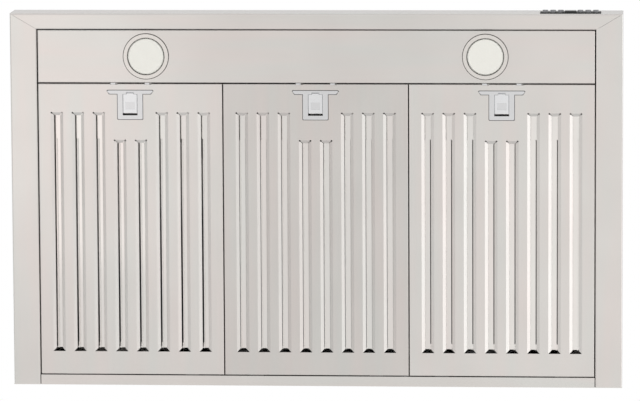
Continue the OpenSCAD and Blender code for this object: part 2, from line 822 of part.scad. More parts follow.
module latch_slide(k) {
    tab_bottom = latch_face_z + 0.3;
    tab_top = filter_t + seat_t;
    stem_front_y = slide_front_y + 2;
    bar_y0 = filter_seam_y + latch_front;
    finger_tip_y = panel_rear_y + part_clear;
    color(bright)
        translate([filter_x(k), 0, 0])
            difference() {
                union() {
                    box(-slide_half, slide_half, slide_front_y, slide_rear_y, tab_bottom, tab_top);
                    box(-nose_half, nose_half, slide_front_y - nose_l, slide_front_y, tab_bottom,
                        tab_top);
                    box(-8, 8, stem_front_y, stem_rear_y, tab_top, spring_z + 2.4);
                    box(-floor_half, floor_half, slide_front_y, slide_rear_y, bar_z, bar_z + bar_t);
                    box(-finger_x - finger_w / 2, finger_x + finger_w / 2, bar_y0, slide_front_y + 4,
                        bar_z, bar_z + bar_t);
                    for (s = [-1, 1])
                        translate([s * finger_x, 0, 0]) {
                            box(-finger_w / 2, finger_w / 2, finger_tip_y, bar_y0, bar_z,
                                bar_z + bar_t);
                            box(-finger_w / 2, finger_w / 2, finger_tip_y,
                                bar_y0 - 2.2 - latch_travel - part_clear, finger_z, bar_z);
                        }
                }
                box(-6.8, 6.8, slide_front_y + 12, slide_rear_y - 6, -1, tab_bottom + 0.9);
                // room for the return spring over the rear end
                box(-spring_room, spring_room, stem_rear_y, slide_rear_y + 1, tab_top, spring_z);
            }
}

module latch_spring(k) {
    color(zinc)
        translate([filter_x(k), 0, 0])
            difference() {
                rod_y(2.3, stem_rear_y + 0.2, spring_seat_y - 0.2, 0, spring_z);
                rod_y(1.6, stem_rear_y - 1, spring_seat_y + 1, 0, spring_z);
            }
}

// Blower

tongue_a = 65;
scroll_steps = 28;
outlet_top = top_z - sheet_t;
tongue_y = -shaft_y + scroll_r0 * cos(tongue_a);
outlet_flange = 12;
outlet_y0 = -shaft_y - scroll_r1 - outlet_flange;
outlet_y1 = tongue_y + outlet_flange;
outlet_edge = outlet_flange / 2;
blower_screw_places = [
    for (x = [-1, 1], y = [outlet_y0 + outlet_edge, -collar_y, outlet_y1 - outlet_edge])
        [x * (blower_w / 2 + outlet_edge), y],
    for (y = [outlet_y0 + outlet_edge, outlet_y1 - outlet_edge])
        [0, y]];

// Side view of the scroll and its outlet, drawn in by e
function scroll(e, top) = [
    for (k = [0 : scroll_steps]) let (
        share = k / scroll_steps,
        a = tongue_a - (180 + tongue_a) * share,
        r = scroll_r0 + (scroll_r1 - scroll_r0) * share - e)
        [-shaft_y + r * cos(a), shaft_z + r * sin(a)],
    [-shaft_y - scroll_r1 + e, top],
    [tongue_y - e, top]];

module scroll_slab(e, top, x0, x1) {
    translate([x0, 0, 0])
        rotate([90, 0, 90])
            linear_extrude(x1 - x0)
                polygon(scroll(e, top));
}

module blower_housing() {
    color(zinc)
        difference() {
            union() {
                scroll_slab(0, outlet_top, -blower_w / 2, blower_w / 2);
                box(-blower_w / 2 - outlet_flange, blower_w / 2 + outlet_flange,
                    outlet_y0, outlet_y1, outlet_top - sheet_t, outlet_top);
            }
            scroll_slab(sheet_t, outlet_top + 1, -blower_w / 2 + sheet_t, blower_w / 2 - sheet_t);
            rod_x(inlet_r, -blower_w / 2 - 1, blower_w / 2 + 1, -shaft_y, shaft_z);
            for (p = blower_screw_places)
                rod_z(hole_r, outlet_top - 3, outlet_top + 1, p.x, p.y);
            for (a = arm_angles)
                arm_hole(a, hole_r);
        }
}

module blower_screws() {
    color(zinc) {
        for (p = blower_screw_places) {
            rod_z(head_r, outlet_top - sheet_t - head_h, outlet_top - sheet_t, p.x, p.y);
            rod_z(screw_r, outlet_top - sheet_t, top_z + 1.5, p.x, p.y);
        }
        for (a = arm_angles)
            arm_bolt(a);
    }
}

inlet_r = impeller_r - 12;
arm_angles = [90, 210, 330];
arm_r = inlet_r + 8;
motor_arm_t = 1.5;
motor_x0 = -blower_w / 2;
motor_l = 60;
boss_l = 11;
shaft_x1 = 12;

module arm_place(a) {
    translate([0, -shaft_y, shaft_z])
        rotate([a, 0, 0])
            translate([0, arm_r, 0])
                children();
}

module arm_hole(a, r) {
    arm_place(a)
        translate([motor_x0 - 5, 0, 0])
            rotate([0, 90, 0])
                cylinder(r = r, h = 10);
}

module arm_bolt(a) {
    arm_place(a)
        translate([motor_x0 - motor_arm_t - head_h, 0, 0])
            rotate([0, 90, 0]) {
                cylinder(r = head_r, h = head_h);
                cylinder(r = screw_r, h = head_h + motor_arm_t + sheet_t + 1.5);
            }
}

module motor_bracket() {
    color(zinc)
        difference() {
            union() {
                rod_x(motor_r - 6, motor_x0 - motor_arm_t, motor_x0, -shaft_y, shaft_z);
                for (a = arm_angles)
                    translate([motor_x0 - motor_arm_t, -shaft_y, shaft_z])
                        rotate([a, 0, 0])
                            translate([0, 0, -8])
                                cube([motor_arm_t, arm_r + 8, 16]);
            }
            for (a = arm_angles)
                arm_hole(a, hole_r);
            rod_x(12, motor_x0 - motor_arm_t - 1, motor_x0 + 1, -shaft_y, shaft_z);
        }
}

module motor() {
    color([0.45, 0.46, 0.48])
        difference() {
            union() {
                rod_x(motor_r, motor_x0, motor_x0 + motor_l, -shaft_y, shaft_z);
                rod_x(shaft_r * 3, motor_x0 + motor_l - 1, motor_x0 + motor_l + boss_l, -shaft_y, shaft_z);
            }
            rod_x(shaft_r + run_clear, motor_x0 + motor_l - 30, motor_x0 + motor_l + boss_l + 1,
                -shaft_y, shaft_z);
        }
}

module motor_shaft() {
    color([0.75, 0.75, 0.76])
        rod_x(shaft_r, motor_x0 + motor_l - 29, shaft_x1, -shaft_y, shaft_z);
}

module impeller() {
    half = blower_w / 2 - 14;
    inner_r = impeller_r - 12;
    hub_x0 = motor_x0 + motor_l + boss_l + 3;
    color([0.35, 0.36, 0.38])
        translate([0, -shaft_y, shaft_z])
            rotate([0, 90, 0]) {
                difference() {
                    union() {
                        translate([0, 0, hub_x0])
                            cylinder(r = shaft_r * 2.5, h = shaft_x1 - hub_x0);
                        cylinder(r = impeller_r, h = 1.5);
                        for (z = [-half, half - 1.2])
                            translate([0, 0, z])
                                difference() {
                                    cylinder(r = impeller_r, h = 1.2);
                                    translate([0, 0, -1])
                                        cylinder(r = inner_r, h = 4);
                                }
                        for (k = [0 : blade_count - 1])
                            rotate([0, 0, 360 * k / blade_count])
                                translate([inner_r + 0.3, 0, -half])
                                    rotate([0, 0, 28])
                                        cube([11.5, 0.8, 2 * half]);
                    }
                    translate([0, 0, hub_x0 - 1])
                        cylinder(r = shaft_r, h = shaft_x1 - hub_x0 + 2);
                }
            }
}

// Wiring

jb_x = 245;
jb_z = 120;
jb_w = 90;
jb_h = 56;
jb_d = 38;
grommet_x = 118;
grommet_y = -42;
grommet_r = 9;

module junction_box() {
    color(zinc)
        translate([jb_x, -sheet_t, jb_z])
            difference() {
                box(-jb_w / 2, jb_w / 2, -jb_d, 0, -jb_h / 2, jb_h / 2);
                box(-jb_w / 2 + sheet_t, jb_w / 2 - sheet_t, -jb_d - 1, -sheet_t,
                    -jb_h / 2 + sheet_t, jb_h / 2 - sheet_t);
            }
}

module junction_cover() {
    color(steel)
        box(jb_x - jb_w / 2, jb_x + jb_w / 2, -sheet_t - jb_d - sheet_t, -sheet_t - jb_d,
            jb_z - jb_h / 2, jb_z + jb_h / 2);
}

module run_capacitor() {
    cap_r = 13;
    color([0.85, 0.85, 0.83])
        rod_x(cap_r, jb_x - 30, jb_x + 25, -2 * sheet_t - cap_r, jb_z - jb_h / 2 + sheet_t + cap_r);
}

module cord_grommet() {
    color([0.07, 0.07, 0.07])
        translate([grommet_x, grommet_y, top_z])
            rotate_extrude()
                polygon([[grommet_r - 3, -3], [grommet_r + 2, -3], [grommet_r + 2, -sheet_t],
                    [grommet_r, -sheet_t], [grommet_r, 0], [grommet_r + 2, 0], [grommet_r + 2, 2],
                    [grommet_r - 3, 2]]);
}

// Outlet

damper_z = top_z + 30;
flap_r = collar_r - sheet_t - 0.8;
flap_t = 0.8;
barrel_r = damper_pin_r + 1.5;
barrel_gap = 0.5;

module duct_collar() {
    foot_r = collar_r + 20;
    color(zinc)
        difference() {
            union() {
                rod_z(foot_r, top_z, top_z + 1.2, 0, -collar_y);
                rod_z(collar_r, top_z, top_z + collar_h, 0, -collar_y);
            }
            rod_z(collar_r - sheet_t, top_z - 1, top_z + collar_h + 1, 0, -collar_y);
            for (p = blower_screw_places)
                rod_z(hole_r, top_z - 1, top_z + 3, p.x, p.y);
            rod_x(damper_pin_r, -collar_r - 1, collar_r + 1, -collar_y, damper_z);
        }
}

module damper_pin() {
    color(zinc)
        rod_x(damper_pin_r, -collar_r + 0.1, collar_r - 0.1, -collar_y, damper_z);
}

// Half-round flap on the +Y side of the pin, with barrels at the named stretches of X
module flap(barrels) {
    edge = barrel_r + barrel_gap;
    difference() {
        union() {
            intersection() {
                cylinder(r = flap_r, h = flap_t, center = true);
                box(-flap_r, flap_r, edge, flap_r, -flap_t, flap_t);
            }
            for (b = barrels) {
                rod_x(barrel_r, b[0], b[1], 0, 0);
                box(b[0], b[1], 0, edge + 1, -flap_t / 2, flap_t / 2);
            }
        }
        rod_x(damper_pin_r + run_clear, -flap_r - 1, flap_r + 1, 0, 0);
    }
}

module damper_rear() {
    color(steel)
        translate([0, -collar_y, damper_z])
            flap([[-34, -2], [36, 66]]);
}

module damper_front() {
    color(steel)
        translate([0, -collar_y, damper_z])
            rotate([0, 0, 180])
                flap([[-34, -2], [36, 66]]);
}

// Chimney

lower_top = canopy_h + lower_h;
cover_tab_w = 13;
cover_screw_x = top_half_w - 8;
cover_screw_ys = [-chimney_d * 0.75, -chimney_d * 0.25];
upper_z0 = canopy_h + sheet_t;
upper_top = lower_top + upper_show;
upper_half = top_half_w - sheet_t - cover_gap;
bracket_rise = 10;
bracket_drop = 5;
upper_front = -chimney_d + sheet_t + cover_gap;

module lower_cover() {
    color(steel)
        difference() {
            union() {
                fold_along_z([[-top_half_w + 12, 0], [-top_half_w, 0], [-top_half_w, -chimney_d],
                    [top_half_w, -chimney_d], [top_half_w, 0], [top_half_w - 12, 0]],
                    sheet_t, canopy_h, lower_top);
                for (s = [0, 1])
                    mirror([s, 0, 0])
                        box(top_half_w - cover_tab_w, top_half_w - sheet_t / 2, -chimney_d * 0.85,
                            -chimney_d * 0.15, canopy_h, canopy_h + sheet_t);
                box(-chimney_w * 0.3, chimney_w * 0.3, -chimney_d + sheet_t / 2,
                    -chimney_d + cover_tab_w, canopy_h, canopy_h + sheet_t);
            }
            for (x = [-cover_screw_x, cover_screw_x], y = cover_screw_ys)
                rod_z(hole_r, canopy_h - 1, canopy_h + 3, x, y);
        }
}

module upper_cover() {
    rear = -bend_r - cover_gap;
    color(steel)
        fold_along_z([[-upper_half, rear], [-upper_half, upper_front], [upper_half, upper_front],
            [upper_half, rear]], sheet_t, upper_z0, upper_top);
}

module cover_screws() {
    under = top_z - sheet_t;
    color(zinc)
        for (x = [-cover_screw_x, cover_screw_x], y = cover_screw_ys) {
            rod_z(head_r, under - head_h, under, x, y);
            rod_z(screw_r, under, canopy_h + sheet_t + 3, x, y);
        }
}

module chimney_bracket() {
    half = upper_half - sheet_t - part_clear;
    z0 = lower_top + bracket_rise;
    z1 = upper_top - bracket_drop;
    color(zinc)
        difference() {
            fold_along_z([[-half, -bracket_ear], [-half, 0], [half, 0], [half, -bracket_ear]],
                -bracket_t, z0, z1, 3);
            for (x = [-bracket_hole_w / 2, bracket_hole_w / 2])
                rod_y(bracket_hole_r, -bracket_t - 1, 1, x, (z0 + z1) / 2);
        }
}

canopy_front();
canopy_left();
canopy_right();
canopy_back();
top_plate();
rear_rail();
light_panel();
panel_screws();
lamp_ring(-lamp_x);  // lamp_ring_left
lamp_ring(lamp_x);  // lamp_ring_right
lamp_lens(-lamp_x);  // lamp_lens_left
lamp_lens(lamp_x);  // lamp_lens_right
lamp_leds(-lamp_x);  // lamp_leds_left
lamp_leds(lamp_x);  // lamp_leds_right
lamp_cup(-lamp_x);  // lamp_cup_left
lamp_cup(lamp_x);  // lamp_cup_right
lamp_springs();
lamp_driver();
control_strip();
control_board();
display_lens();
button(1);  // button_1
button(2);  // button_2
button(3);  // button_3
button(4);  // button_4
button(5);  // button_5
button(6);  // button_6
filter_face(-1);  // filter_face_left
filter_face(0);  // filter_face_middle
filter_face(1);  // filter_face_right
filter_baffle(-1);  // filter_baffle_left
filter_baffle(0);  // filter_baffle_middle
filter_baffle(1);  // filter_baffle_right
latch_case(-1);  // latch_case_left
latch_case(0);  // latch_case_middle
latch_case(1);  // latch_case_right
latch_slide(-1);  // latch_slide_left
latch_slide(0);  // latch_slide_middle
latch_slide(1);  // latch_slide_right
latch_spring(-1);  // latch_spring_left
latch_spring(0);  // latch_spring_middle
latch_spring(1);  // latch_spring_right
blower_housing();
blower_screws();
motor_bracket();
motor();
impeller();
motor_shaft();
junction_box();
junction_cover();
run_capacitor();
cord_grommet();
duct_collar();
damper_pin();
damper_front();
damper_rear();
lower_cover();
upper_cover();
cover_screws();
chimney_bracket();
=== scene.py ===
# Wall mount range hood, seen from below: finishes, fine parts, lights and camera
import json
import math
import bmesh
import bpy
from mathutils import Matrix, Vector


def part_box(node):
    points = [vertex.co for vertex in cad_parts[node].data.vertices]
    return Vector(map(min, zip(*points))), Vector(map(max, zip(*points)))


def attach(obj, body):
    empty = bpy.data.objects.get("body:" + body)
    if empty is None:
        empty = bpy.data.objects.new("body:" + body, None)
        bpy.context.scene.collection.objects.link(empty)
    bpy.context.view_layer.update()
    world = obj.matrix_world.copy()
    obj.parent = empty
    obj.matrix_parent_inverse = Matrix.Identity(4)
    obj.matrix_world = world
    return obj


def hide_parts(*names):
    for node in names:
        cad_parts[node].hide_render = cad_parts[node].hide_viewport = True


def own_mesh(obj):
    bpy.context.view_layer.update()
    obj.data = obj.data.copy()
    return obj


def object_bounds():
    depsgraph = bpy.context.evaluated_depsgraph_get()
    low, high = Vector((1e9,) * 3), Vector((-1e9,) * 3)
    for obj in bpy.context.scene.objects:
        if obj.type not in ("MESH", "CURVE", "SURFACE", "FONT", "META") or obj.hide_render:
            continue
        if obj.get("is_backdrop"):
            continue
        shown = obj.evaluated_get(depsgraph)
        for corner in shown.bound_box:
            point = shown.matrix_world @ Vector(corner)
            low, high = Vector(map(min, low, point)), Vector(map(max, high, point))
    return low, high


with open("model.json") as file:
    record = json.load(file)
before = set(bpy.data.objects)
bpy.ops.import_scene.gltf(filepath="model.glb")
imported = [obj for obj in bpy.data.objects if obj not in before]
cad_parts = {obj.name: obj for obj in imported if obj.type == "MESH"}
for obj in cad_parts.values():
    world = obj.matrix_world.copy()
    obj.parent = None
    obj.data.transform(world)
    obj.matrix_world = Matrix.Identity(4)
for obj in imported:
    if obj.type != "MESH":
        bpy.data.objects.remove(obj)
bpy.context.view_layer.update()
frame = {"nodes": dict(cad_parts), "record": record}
nodes = frame["nodes"]
mm = 0.001
sideNames = ("left", "middle", "right")
lampSides = ("left", "right")
print("frame loaded:", len(nodes), "nodes")


# Camera: under the hood, to the right and in front of it. Its long lens keeps the underside's
# sides straight without a shifted lens.
cameraSet = {
    "lensMm": 266.63,
    "sensorMm": 36,
    "clipFrom": 0.1,
    "clipTo": 60,
    "place": (0.4872, -1.1979, -7.0),
    "tiltDeg": 7.4639,
    "panDeg": 3.8983,
    "rollDeg": 0.2197,
}


def makeCamera(s):
    data = bpy.data.cameras.new("camera")
    data.lens = s["lensMm"]
    data.sensor_width = s["sensorMm"]
    data.clip_start = s["clipFrom"]
    data.clip_end = s["clipTo"]
    turn = Matrix.Rotation(math.radians(s["rollDeg"]), 3, "Z")
    turn = turn @ Matrix.Rotation(math.radians(s["panDeg"]), 3, "Y")
    turn = turn @ Matrix.Rotation(math.radians(s["tiltDeg"]), 3, "X")
    right, down, ahead = (Vector(row) for row in turn)
    basis = Matrix((right, -down, -ahead)).transposed()
    camera = bpy.data.objects.new("camera", data)
    camera.matrix_world = Matrix.Translation(s["place"]) @ basis.to_4x4()
    bpy.context.scene.collection.objects.link(camera)
    bpy.context.scene.camera = camera


makeCamera(cameraSet)


# Shader helpers: a colour is given as sRGB hex text
def linearColour(hexText):
    shares = [int(hexText[i:i + 2], 16) / 255 for i in (1, 3, 5)]
    return [v / 12.92 if v <= 0.04045 else ((v + 0.055) / 1.055) ** 2.4 for v in shares] + [1.0]


def setInputs(tree, node, inputs):
    for key, value in inputs.items():
        if isinstance(value, bpy.types.NodeSocket):
            tree.links.new(value, node.inputs[key])
        elif isinstance(value, str) and value.startswith("#"):
            node.inputs[key].default_value = linearColour(value)
        else:
            node.inputs[key].default_value = value


def addNode(tree, kind, inputs=None, **settings):
    node = tree.nodes.new(kind)
    for name, value in settings.items():
        setattr(node, name, value)
    setInputs(tree, node, inputs or {})
    return node


# Sockets of a Mix node that blends two colours
mixShare, mixFrom, mixTo, mixResult = 0, 6, 7, 2
# Noise runs from about 0.3 to 0.7
noiseLow, noiseHigh = 0.3, 0.7


def startMaterial(name, **shaderInputs):
    material = bpy.data.materials.new(name)
    material.use_nodes = True
    tree = material.node_tree
    shader = tree.nodes["Principled BSDF"]
    setInputs(tree, shader, {key.replace("_", " "): value for key, value in shaderInputs.items()})
    return material, tree, shader


# A pattern on Object coordinates that repeats so often in a metre along X, Y and Z
def objectPattern(tree, perMetre, kind="ShaderNodeTexNoise", **inputs):
    place = addNode(tree, "ShaderNodeTexCoord").outputs["Object"]
    stretched = addNode(tree, "ShaderNodeMapping", {"Vector": place, "Scale": perMetre})
    return addNode(tree, kind, dict(inputs, Vector=stretched.outputs[0], Scale=1.0)).outputs


def twoTones(tree, grain, dark, light, grainLow=noiseLow, grainHigh=noiseHigh):
    share = addNode(tree, "ShaderNodeMapRange", {"Value": grain, "From Min": grainLow, "From Max": grainHigh})
    return addNode(tree, "ShaderNodeMix", {mixShare: share.outputs[0], mixFrom: dark, mixTo: light},
                   data_type="RGBA").outputs[mixResult]


# Colour is given; gloss and relief follow the grain
def dressShader(tree, shader, colour, grain, roughness, bumpMm):
    gloss = addNode(tree, "ShaderNodeMapRange", {
        "Value": grain, "From Min": noiseLow, "From Max": noiseHigh,
        "To Min": roughness[0], "To Max": roughness[1]})
    relief = addNode(tree, "ShaderNodeBump", {"Height": grain, "Distance": bumpMm * mm, "Strength": 1.0})
    setInputs(tree, shader, {
        "Base Color": colour, "Roughness": gloss.outputs[0], "Normal": relief.outputs[0]})


# A share that is 1 past the given edges and 0 before any of them; an edge is its start and
# end in metres along an axis
def pastEdges(tree, edges):
    place = addNode(tree, "ShaderNodeTexCoord").outputs["Object"]
    split = addNode(tree, "ShaderNodeSeparateXYZ", {"Vector": place})
    share = 1.0
    for axis, (start, end) in edges.items():
        past = addNode(tree, "ShaderNodeMapRange", {
            "Value": split.outputs[axis], "From Min": start, "From Max": end})
        share = addNode(tree, "ShaderNodeMath", {0: share, 1: past.outputs[0]},
                        operation="MULTIPLY").outputs[0]
    return share


# Brushed 304 stainless: belt-ground along one way, so it shows fine straight streaks and
# highlights that spread across them. The streaks of 0.1 mm are drawn about ten times as
# coarse, because finer ones vanish in the picture.
steelSet = {
    "light": "#d8d5d3",
    "dark": "#d1cdcb",
    "toneEnds": (0.75, 1.25),
    "roughness": (0.2, 0.27),
    "streakMm": 1.1,
    "streakLengthMm": 160,
    "cloudMm": 90,
    "warm": "#dbd3cf",
    "cool": "#d3d5d1",
    "tintMm": (26, 240),
    "tintShare": 0.5,
    "bumpMm": 0.006,
    "anisotropy": 0.4,
    "quarterTurn": 0.25,
}
# the middle filter's steel is drawn slightly darker than the other filters'
middleSet = dict(steelSet, light="#d0cdcb", dark="#c9c5c3", warm="#d3cbc7", cool="#cbcdc9")
# bright rolled stainless of the inner sheets: smoother, so the slots look light inside
innerSet = dict(steelSet, light="#e2dfdd", dark="#dbd7d5", warm="#e5ddd9", cool="#dddfdb",
                roughness=(0.1, 0.15))
# what lies above a filter's face and beyond the seam at the rear rail goes dark, as hidden
# hooks do in their shadow
shadowSet = {"tone": "#2c2b2b", "faceMm": 1.05, "fadeMm": 0.1, "beforeRailMm": 1.15}


def brushedSteel(name, grain, s=steelSet, seamY=None):
    material, tree, shader = startMaterial(
        name, Metallic=1.0, Anisotropic=s["anisotropy"], Anisotropic_Rotation=s["quarterTurn"])
    perMetre = [1000 / s["streakMm"]] * 3
    perMetre[grain] = 1000 / s["streakLengthMm"]
    streaks = objectPattern(tree, perMetre, Detail=3.0, Roughness=0.6)[0]
    clouds = objectPattern(tree, [1000 / s["cloudMm"]] * 3, Detail=1.0)[0]
    both = addNode(tree, "ShaderNodeMath", {0: streaks, 1: clouds}, operation="ADD").outputs[0]
    tone = twoTones(tree, both, s["dark"], s["light"], *s["toneEnds"])
    # rolling leaves broad bands that look faintly pink or green beside each other
    acrossMm, alongMm = s["tintMm"]
    bandScale = [1000 / acrossMm] * 3
    bandScale[grain] = 1000 / alongMm
    tint = twoTones(tree, objectPattern(tree, bandScale, Detail=1.0)[0], s["warm"], s["cool"])
    colour = addNode(tree, "ShaderNodeMix", {mixShare: s["tintShare"], mixFrom: tone, mixTo: tint},
                     data_type="RGBA").outputs[mixResult]
    if seamY is not None:
        faceZ, fade = shadowSet["faceMm"] * mm, shadowSet["fadeMm"] * mm
        hidden = pastEdges(tree, {"Y": (seamY, seamY + fade), "Z": (faceZ, faceZ + fade)})
        colour = addNode(tree, "ShaderNodeMix", {mixShare: hidden, mixFrom: colour, mixTo: shadowSet["tone"]},
                         data_type="RGBA").outputs[mixResult]
    along = [0.0, 0.0, 0.0]
    along[grain] = 1.0
    tangent = addNode(tree, "ShaderNodeCombineXYZ", {"X": along[0], "Y": along[1], "Z": along[2]})
    setInputs(tree, shader, {"Tangent": tangent.outputs[0]})
    dressShader(tree, shader, colour, streaks, s["roughness"], s["bumpMm"])
    return material


# Hot-dip galvanised sheet: dull zinc with crystal spangles of about 9 mm, each with its own
# tone and gloss
zincSet = {"light": "#c3c6c8", "dark": "#a9adb0", "spangleMm": 9, "roughness": (0.38, 0.55),
           "pitsPerMetre": 900, "bumpMm": 0.01}


def galvanisedSheet(name, s=zincSet):
    material, tree, shader = startMaterial(name, Metallic=1.0)
    spangles = objectPattern(tree, [1000 / s["spangleMm"]] * 3, "ShaderNodeTexVoronoi")["Color"]
    chance = addNode(tree, "ShaderNodeSeparateColor", {"Color": spangles}).outputs[0]
    tone = addNode(tree, "ShaderNodeMix", {mixShare: chance, mixFrom: s["dark"], mixTo: s["light"]},
                   data_type="RGBA")
    gloss = addNode(tree, "ShaderNodeMapRange", {
        "Value": chance, "To Min": s["roughness"][0], "To Max": s["roughness"][1]})
    pits = objectPattern(tree, [s["pitsPerMetre"]] * 3)[0]
    relief = addNode(tree, "ShaderNodeBump", {"Height": pits, "Distance": s["bumpMm"] * mm, "Strength": 1.0})
    setInputs(tree, shader, {
        "Base Color": tone.outputs[mixResult], "Roughness": gloss.outputs[0], "Normal": relief.outputs[0]})
    return material


# A plain metal or plastic with a fine grain: its two tones, gloss and the grain's size
def grainedFinish(name, light, dark, roughness, grainMm, bumpMm, **shaderInputs):
    material, tree, shader = startMaterial(name, **shaderInputs)
    grain = objectPattern(tree, [1000 / grainMm] * 3, Detail=3.0, Roughness=0.6)[0]
    dressShader(tree, shader, twoTones(tree, grain, dark, light), grain, roughness, bumpMm)
    return material


# Die-cast zinc of the latches: near-white satin plate where the hand reaches. Behind the filter's face the
# colour is painted shade, near black in the gaps and grey on the channel floor, so every gap reads as a line;
# recessed faces get a slightly darker painted shade
plateSet = {
    "light": "#d8d8d9",
    "dark": "#d0d2d5",
    # painted shade on faces recessed more than about 0.3 mm: slightly darker than the plate
    "recessShade": "#d5d6d8",
    "recessShadeFromMm": (0.26, 0.34),  # heights are above the underside
    # painted shade, near black, where the plate runs on behind the filter's face, so its gaps read dark
    "gapShade": "#3a3a3c",
    "gapShadeFromMm": (0.64, 0.78),
    "gapShadeAheadMm": 1.5,  # from the plate's front edge
    # painted shade, grey, on the channel floor deeper than 2.3 mm
    "channelFloorShade": "#bfc1c5",
    "channelShadeFromMm": 2.3,
    "fadeMm": 0.1,
    "grainMm": 0.8,
    "roughness": (0.2, 0.28),
    "bumpMm": 0.004,
}
tabSet = dict(plateSet, light="#e3e4e6", dark="#dbdde0")


def satinPlate(name, frontY, s=plateSet):
    material, tree, shader = startMaterial(name, Metallic=1.0)
    grain = objectPattern(tree, [1000 / s["grainMm"]] * 3, Detail=3.0, Roughness=0.6)[0]
    recessShadeLow, recessShadeHigh = s["recessShadeFromMm"]
    gapShadeLow, gapShadeHigh = s["gapShadeFromMm"]
    floorZ, fade = s["channelShadeFromMm"] * mm, s["fadeMm"] * mm
    gapShadeFromY = frontY - s["gapShadeAheadMm"] * mm  # the fingers in front of it stay bright
    # masks of the painted shade: recessed faces, the gaps behind the face and the channel floor
    recessShadeShare = pastEdges(tree, {"Z": (recessShadeLow * mm, recessShadeHigh * mm)})
    floor = pastEdges(tree, {"Z": (floorZ, floorZ + fade)})
    gapShadeShare = pastEdges(tree, {"Z": (gapShadeLow * mm, gapShadeHigh * mm), "Y": (gapShadeFromY, gapShadeFromY + fade)})
    plate = twoTones(tree, grain, s["dark"], s["light"])
    recessShaded = addNode(tree, "ShaderNodeMix", {mixShare: recessShadeShare, mixFrom: plate, mixTo: s["recessShade"]},
                     data_type="RGBA").outputs[mixResult]
    hidden = addNode(tree, "ShaderNodeMix", {mixShare: floor, mixFrom: s["gapShade"], mixTo: s["channelFloorShade"]},
                     data_type="RGBA").outputs[mixResult]
    colour = addNode(tree, "ShaderNodeMix", {mixShare: gapShadeShare, mixFrom: recessShaded, mixTo: hidden},
                     data_type="RGBA").outputs[mixResult]
    dressShader(tree, shader, colour, grain, s["roughness"], s["bumpMm"])
    return material


# Spun steel of the lamp rings: fine and bright, with a painted shade line where the rim meets the panel and
# another round the lens, standing in for the shade of the gap and the groove there
ringSet = {
    "light": "#e1ddd9",
    "dark": "#d6d3cf",
    "line": "#343230",
    "rimMm": (33.2, 33.8),
    "lensMm": (27.7, 28.4),
    "grainsPerMetre": 660,
    "roughness": (0.24, 0.32),
    "bumpMm": 0.004,
}


def spunSteel(name, lampPlace, s=ringSet):
    material, tree, shader = startMaterial(name, Metallic=1.0)
    grain = objectPattern(tree, [s["grainsPerMetre"]] * 3, Detail=3.0, Roughness=0.6)[0]
    place = addNode(tree, "ShaderNodeTexCoord").outputs["Object"]
    flat = addNode(tree, "ShaderNodeVectorMath", {0: place, 1: (1, 1, 0)}, operation="MULTIPLY").outputs[0]
    away = addNode(tree, "ShaderNodeVectorMath", {0: flat, 1: lampPlace}, operation="DISTANCE").outputs["Value"]
    (rimLow, rimHigh), (lensLow, lensHigh) = s["rimMm"], s["lensMm"]
    outer = addNode(tree, "ShaderNodeMapRange", {
        "Value": away, "From Min": rimLow * mm, "From Max": rimHigh * mm, "To Min": 0.0, "To Max": 1.0})
    inner = addNode(tree, "ShaderNodeMapRange", {
        "Value": away, "From Min": lensLow * mm, "From Max": lensHigh * mm, "To Min": 1.0, "To Max": 0.0})
    # painted shade lines at the rim and round the lens
    shadeLines = addNode(tree, "ShaderNodeMath", {0: outer.outputs[0], 1: inner.outputs[0]}, operation="MAXIMUM")
    tone = twoTones(tree, grain, s["dark"], s["light"])
    colour = addNode(tree, "ShaderNodeMix", {mixShare: shadeLines.outputs[0], mixFrom: tone, mixTo: s["line"]},
                     data_type="RGBA").outputs[mixResult]
    dressShader(tree, shader, colour, grain, s["roughness"], s["bumpMm"])
    return material


# Opal acrylic lens: milky, so the chips behind it show only faintly
opalSet = {"hollows": "#fcfcf6", "tops": "#f6f6ef", "grainsPerMetre": 700, "roughness": (0.3, 0.4),
           "bumpMm": 0.004, "ior": 1.49, "alpha": 0.9}


def opalLens(s):
    material, tree, shader = startMaterial("opalAcrylic", IOR=s["ior"], Alpha=s["alpha"])
    grain = objectPattern(tree, [s["grainsPerMetre"]] * 3)[0]
    milk = twoTones(tree, grain, s["hollows"], s["tops"])
    dressShader(tree, shader, milk, grain, s["roughness"], s["bumpMm"])
    return material


# Circuit board: green solder mask over copper tracks every 2.5 mm
boardSet = {"mask": "#1d5c38", "copper": "#2f7a4c", "tracksPerMetre": (400, 0, 90), "edge": (0.35, 0.45),
            "roughness": 0.35}


def circuitBoard(s):
    material, tree, shader = startMaterial("circuitBoard", Roughness=s["roughness"])
    tracks = objectPattern(tree, s["tracksPerMetre"], "ShaderNodeTexVoronoi")["Distance"]
    setInputs(tree, shader, {"Base Color": twoTones(tree, tracks, s["mask"], s["copper"], *s["edge"])})
    return material


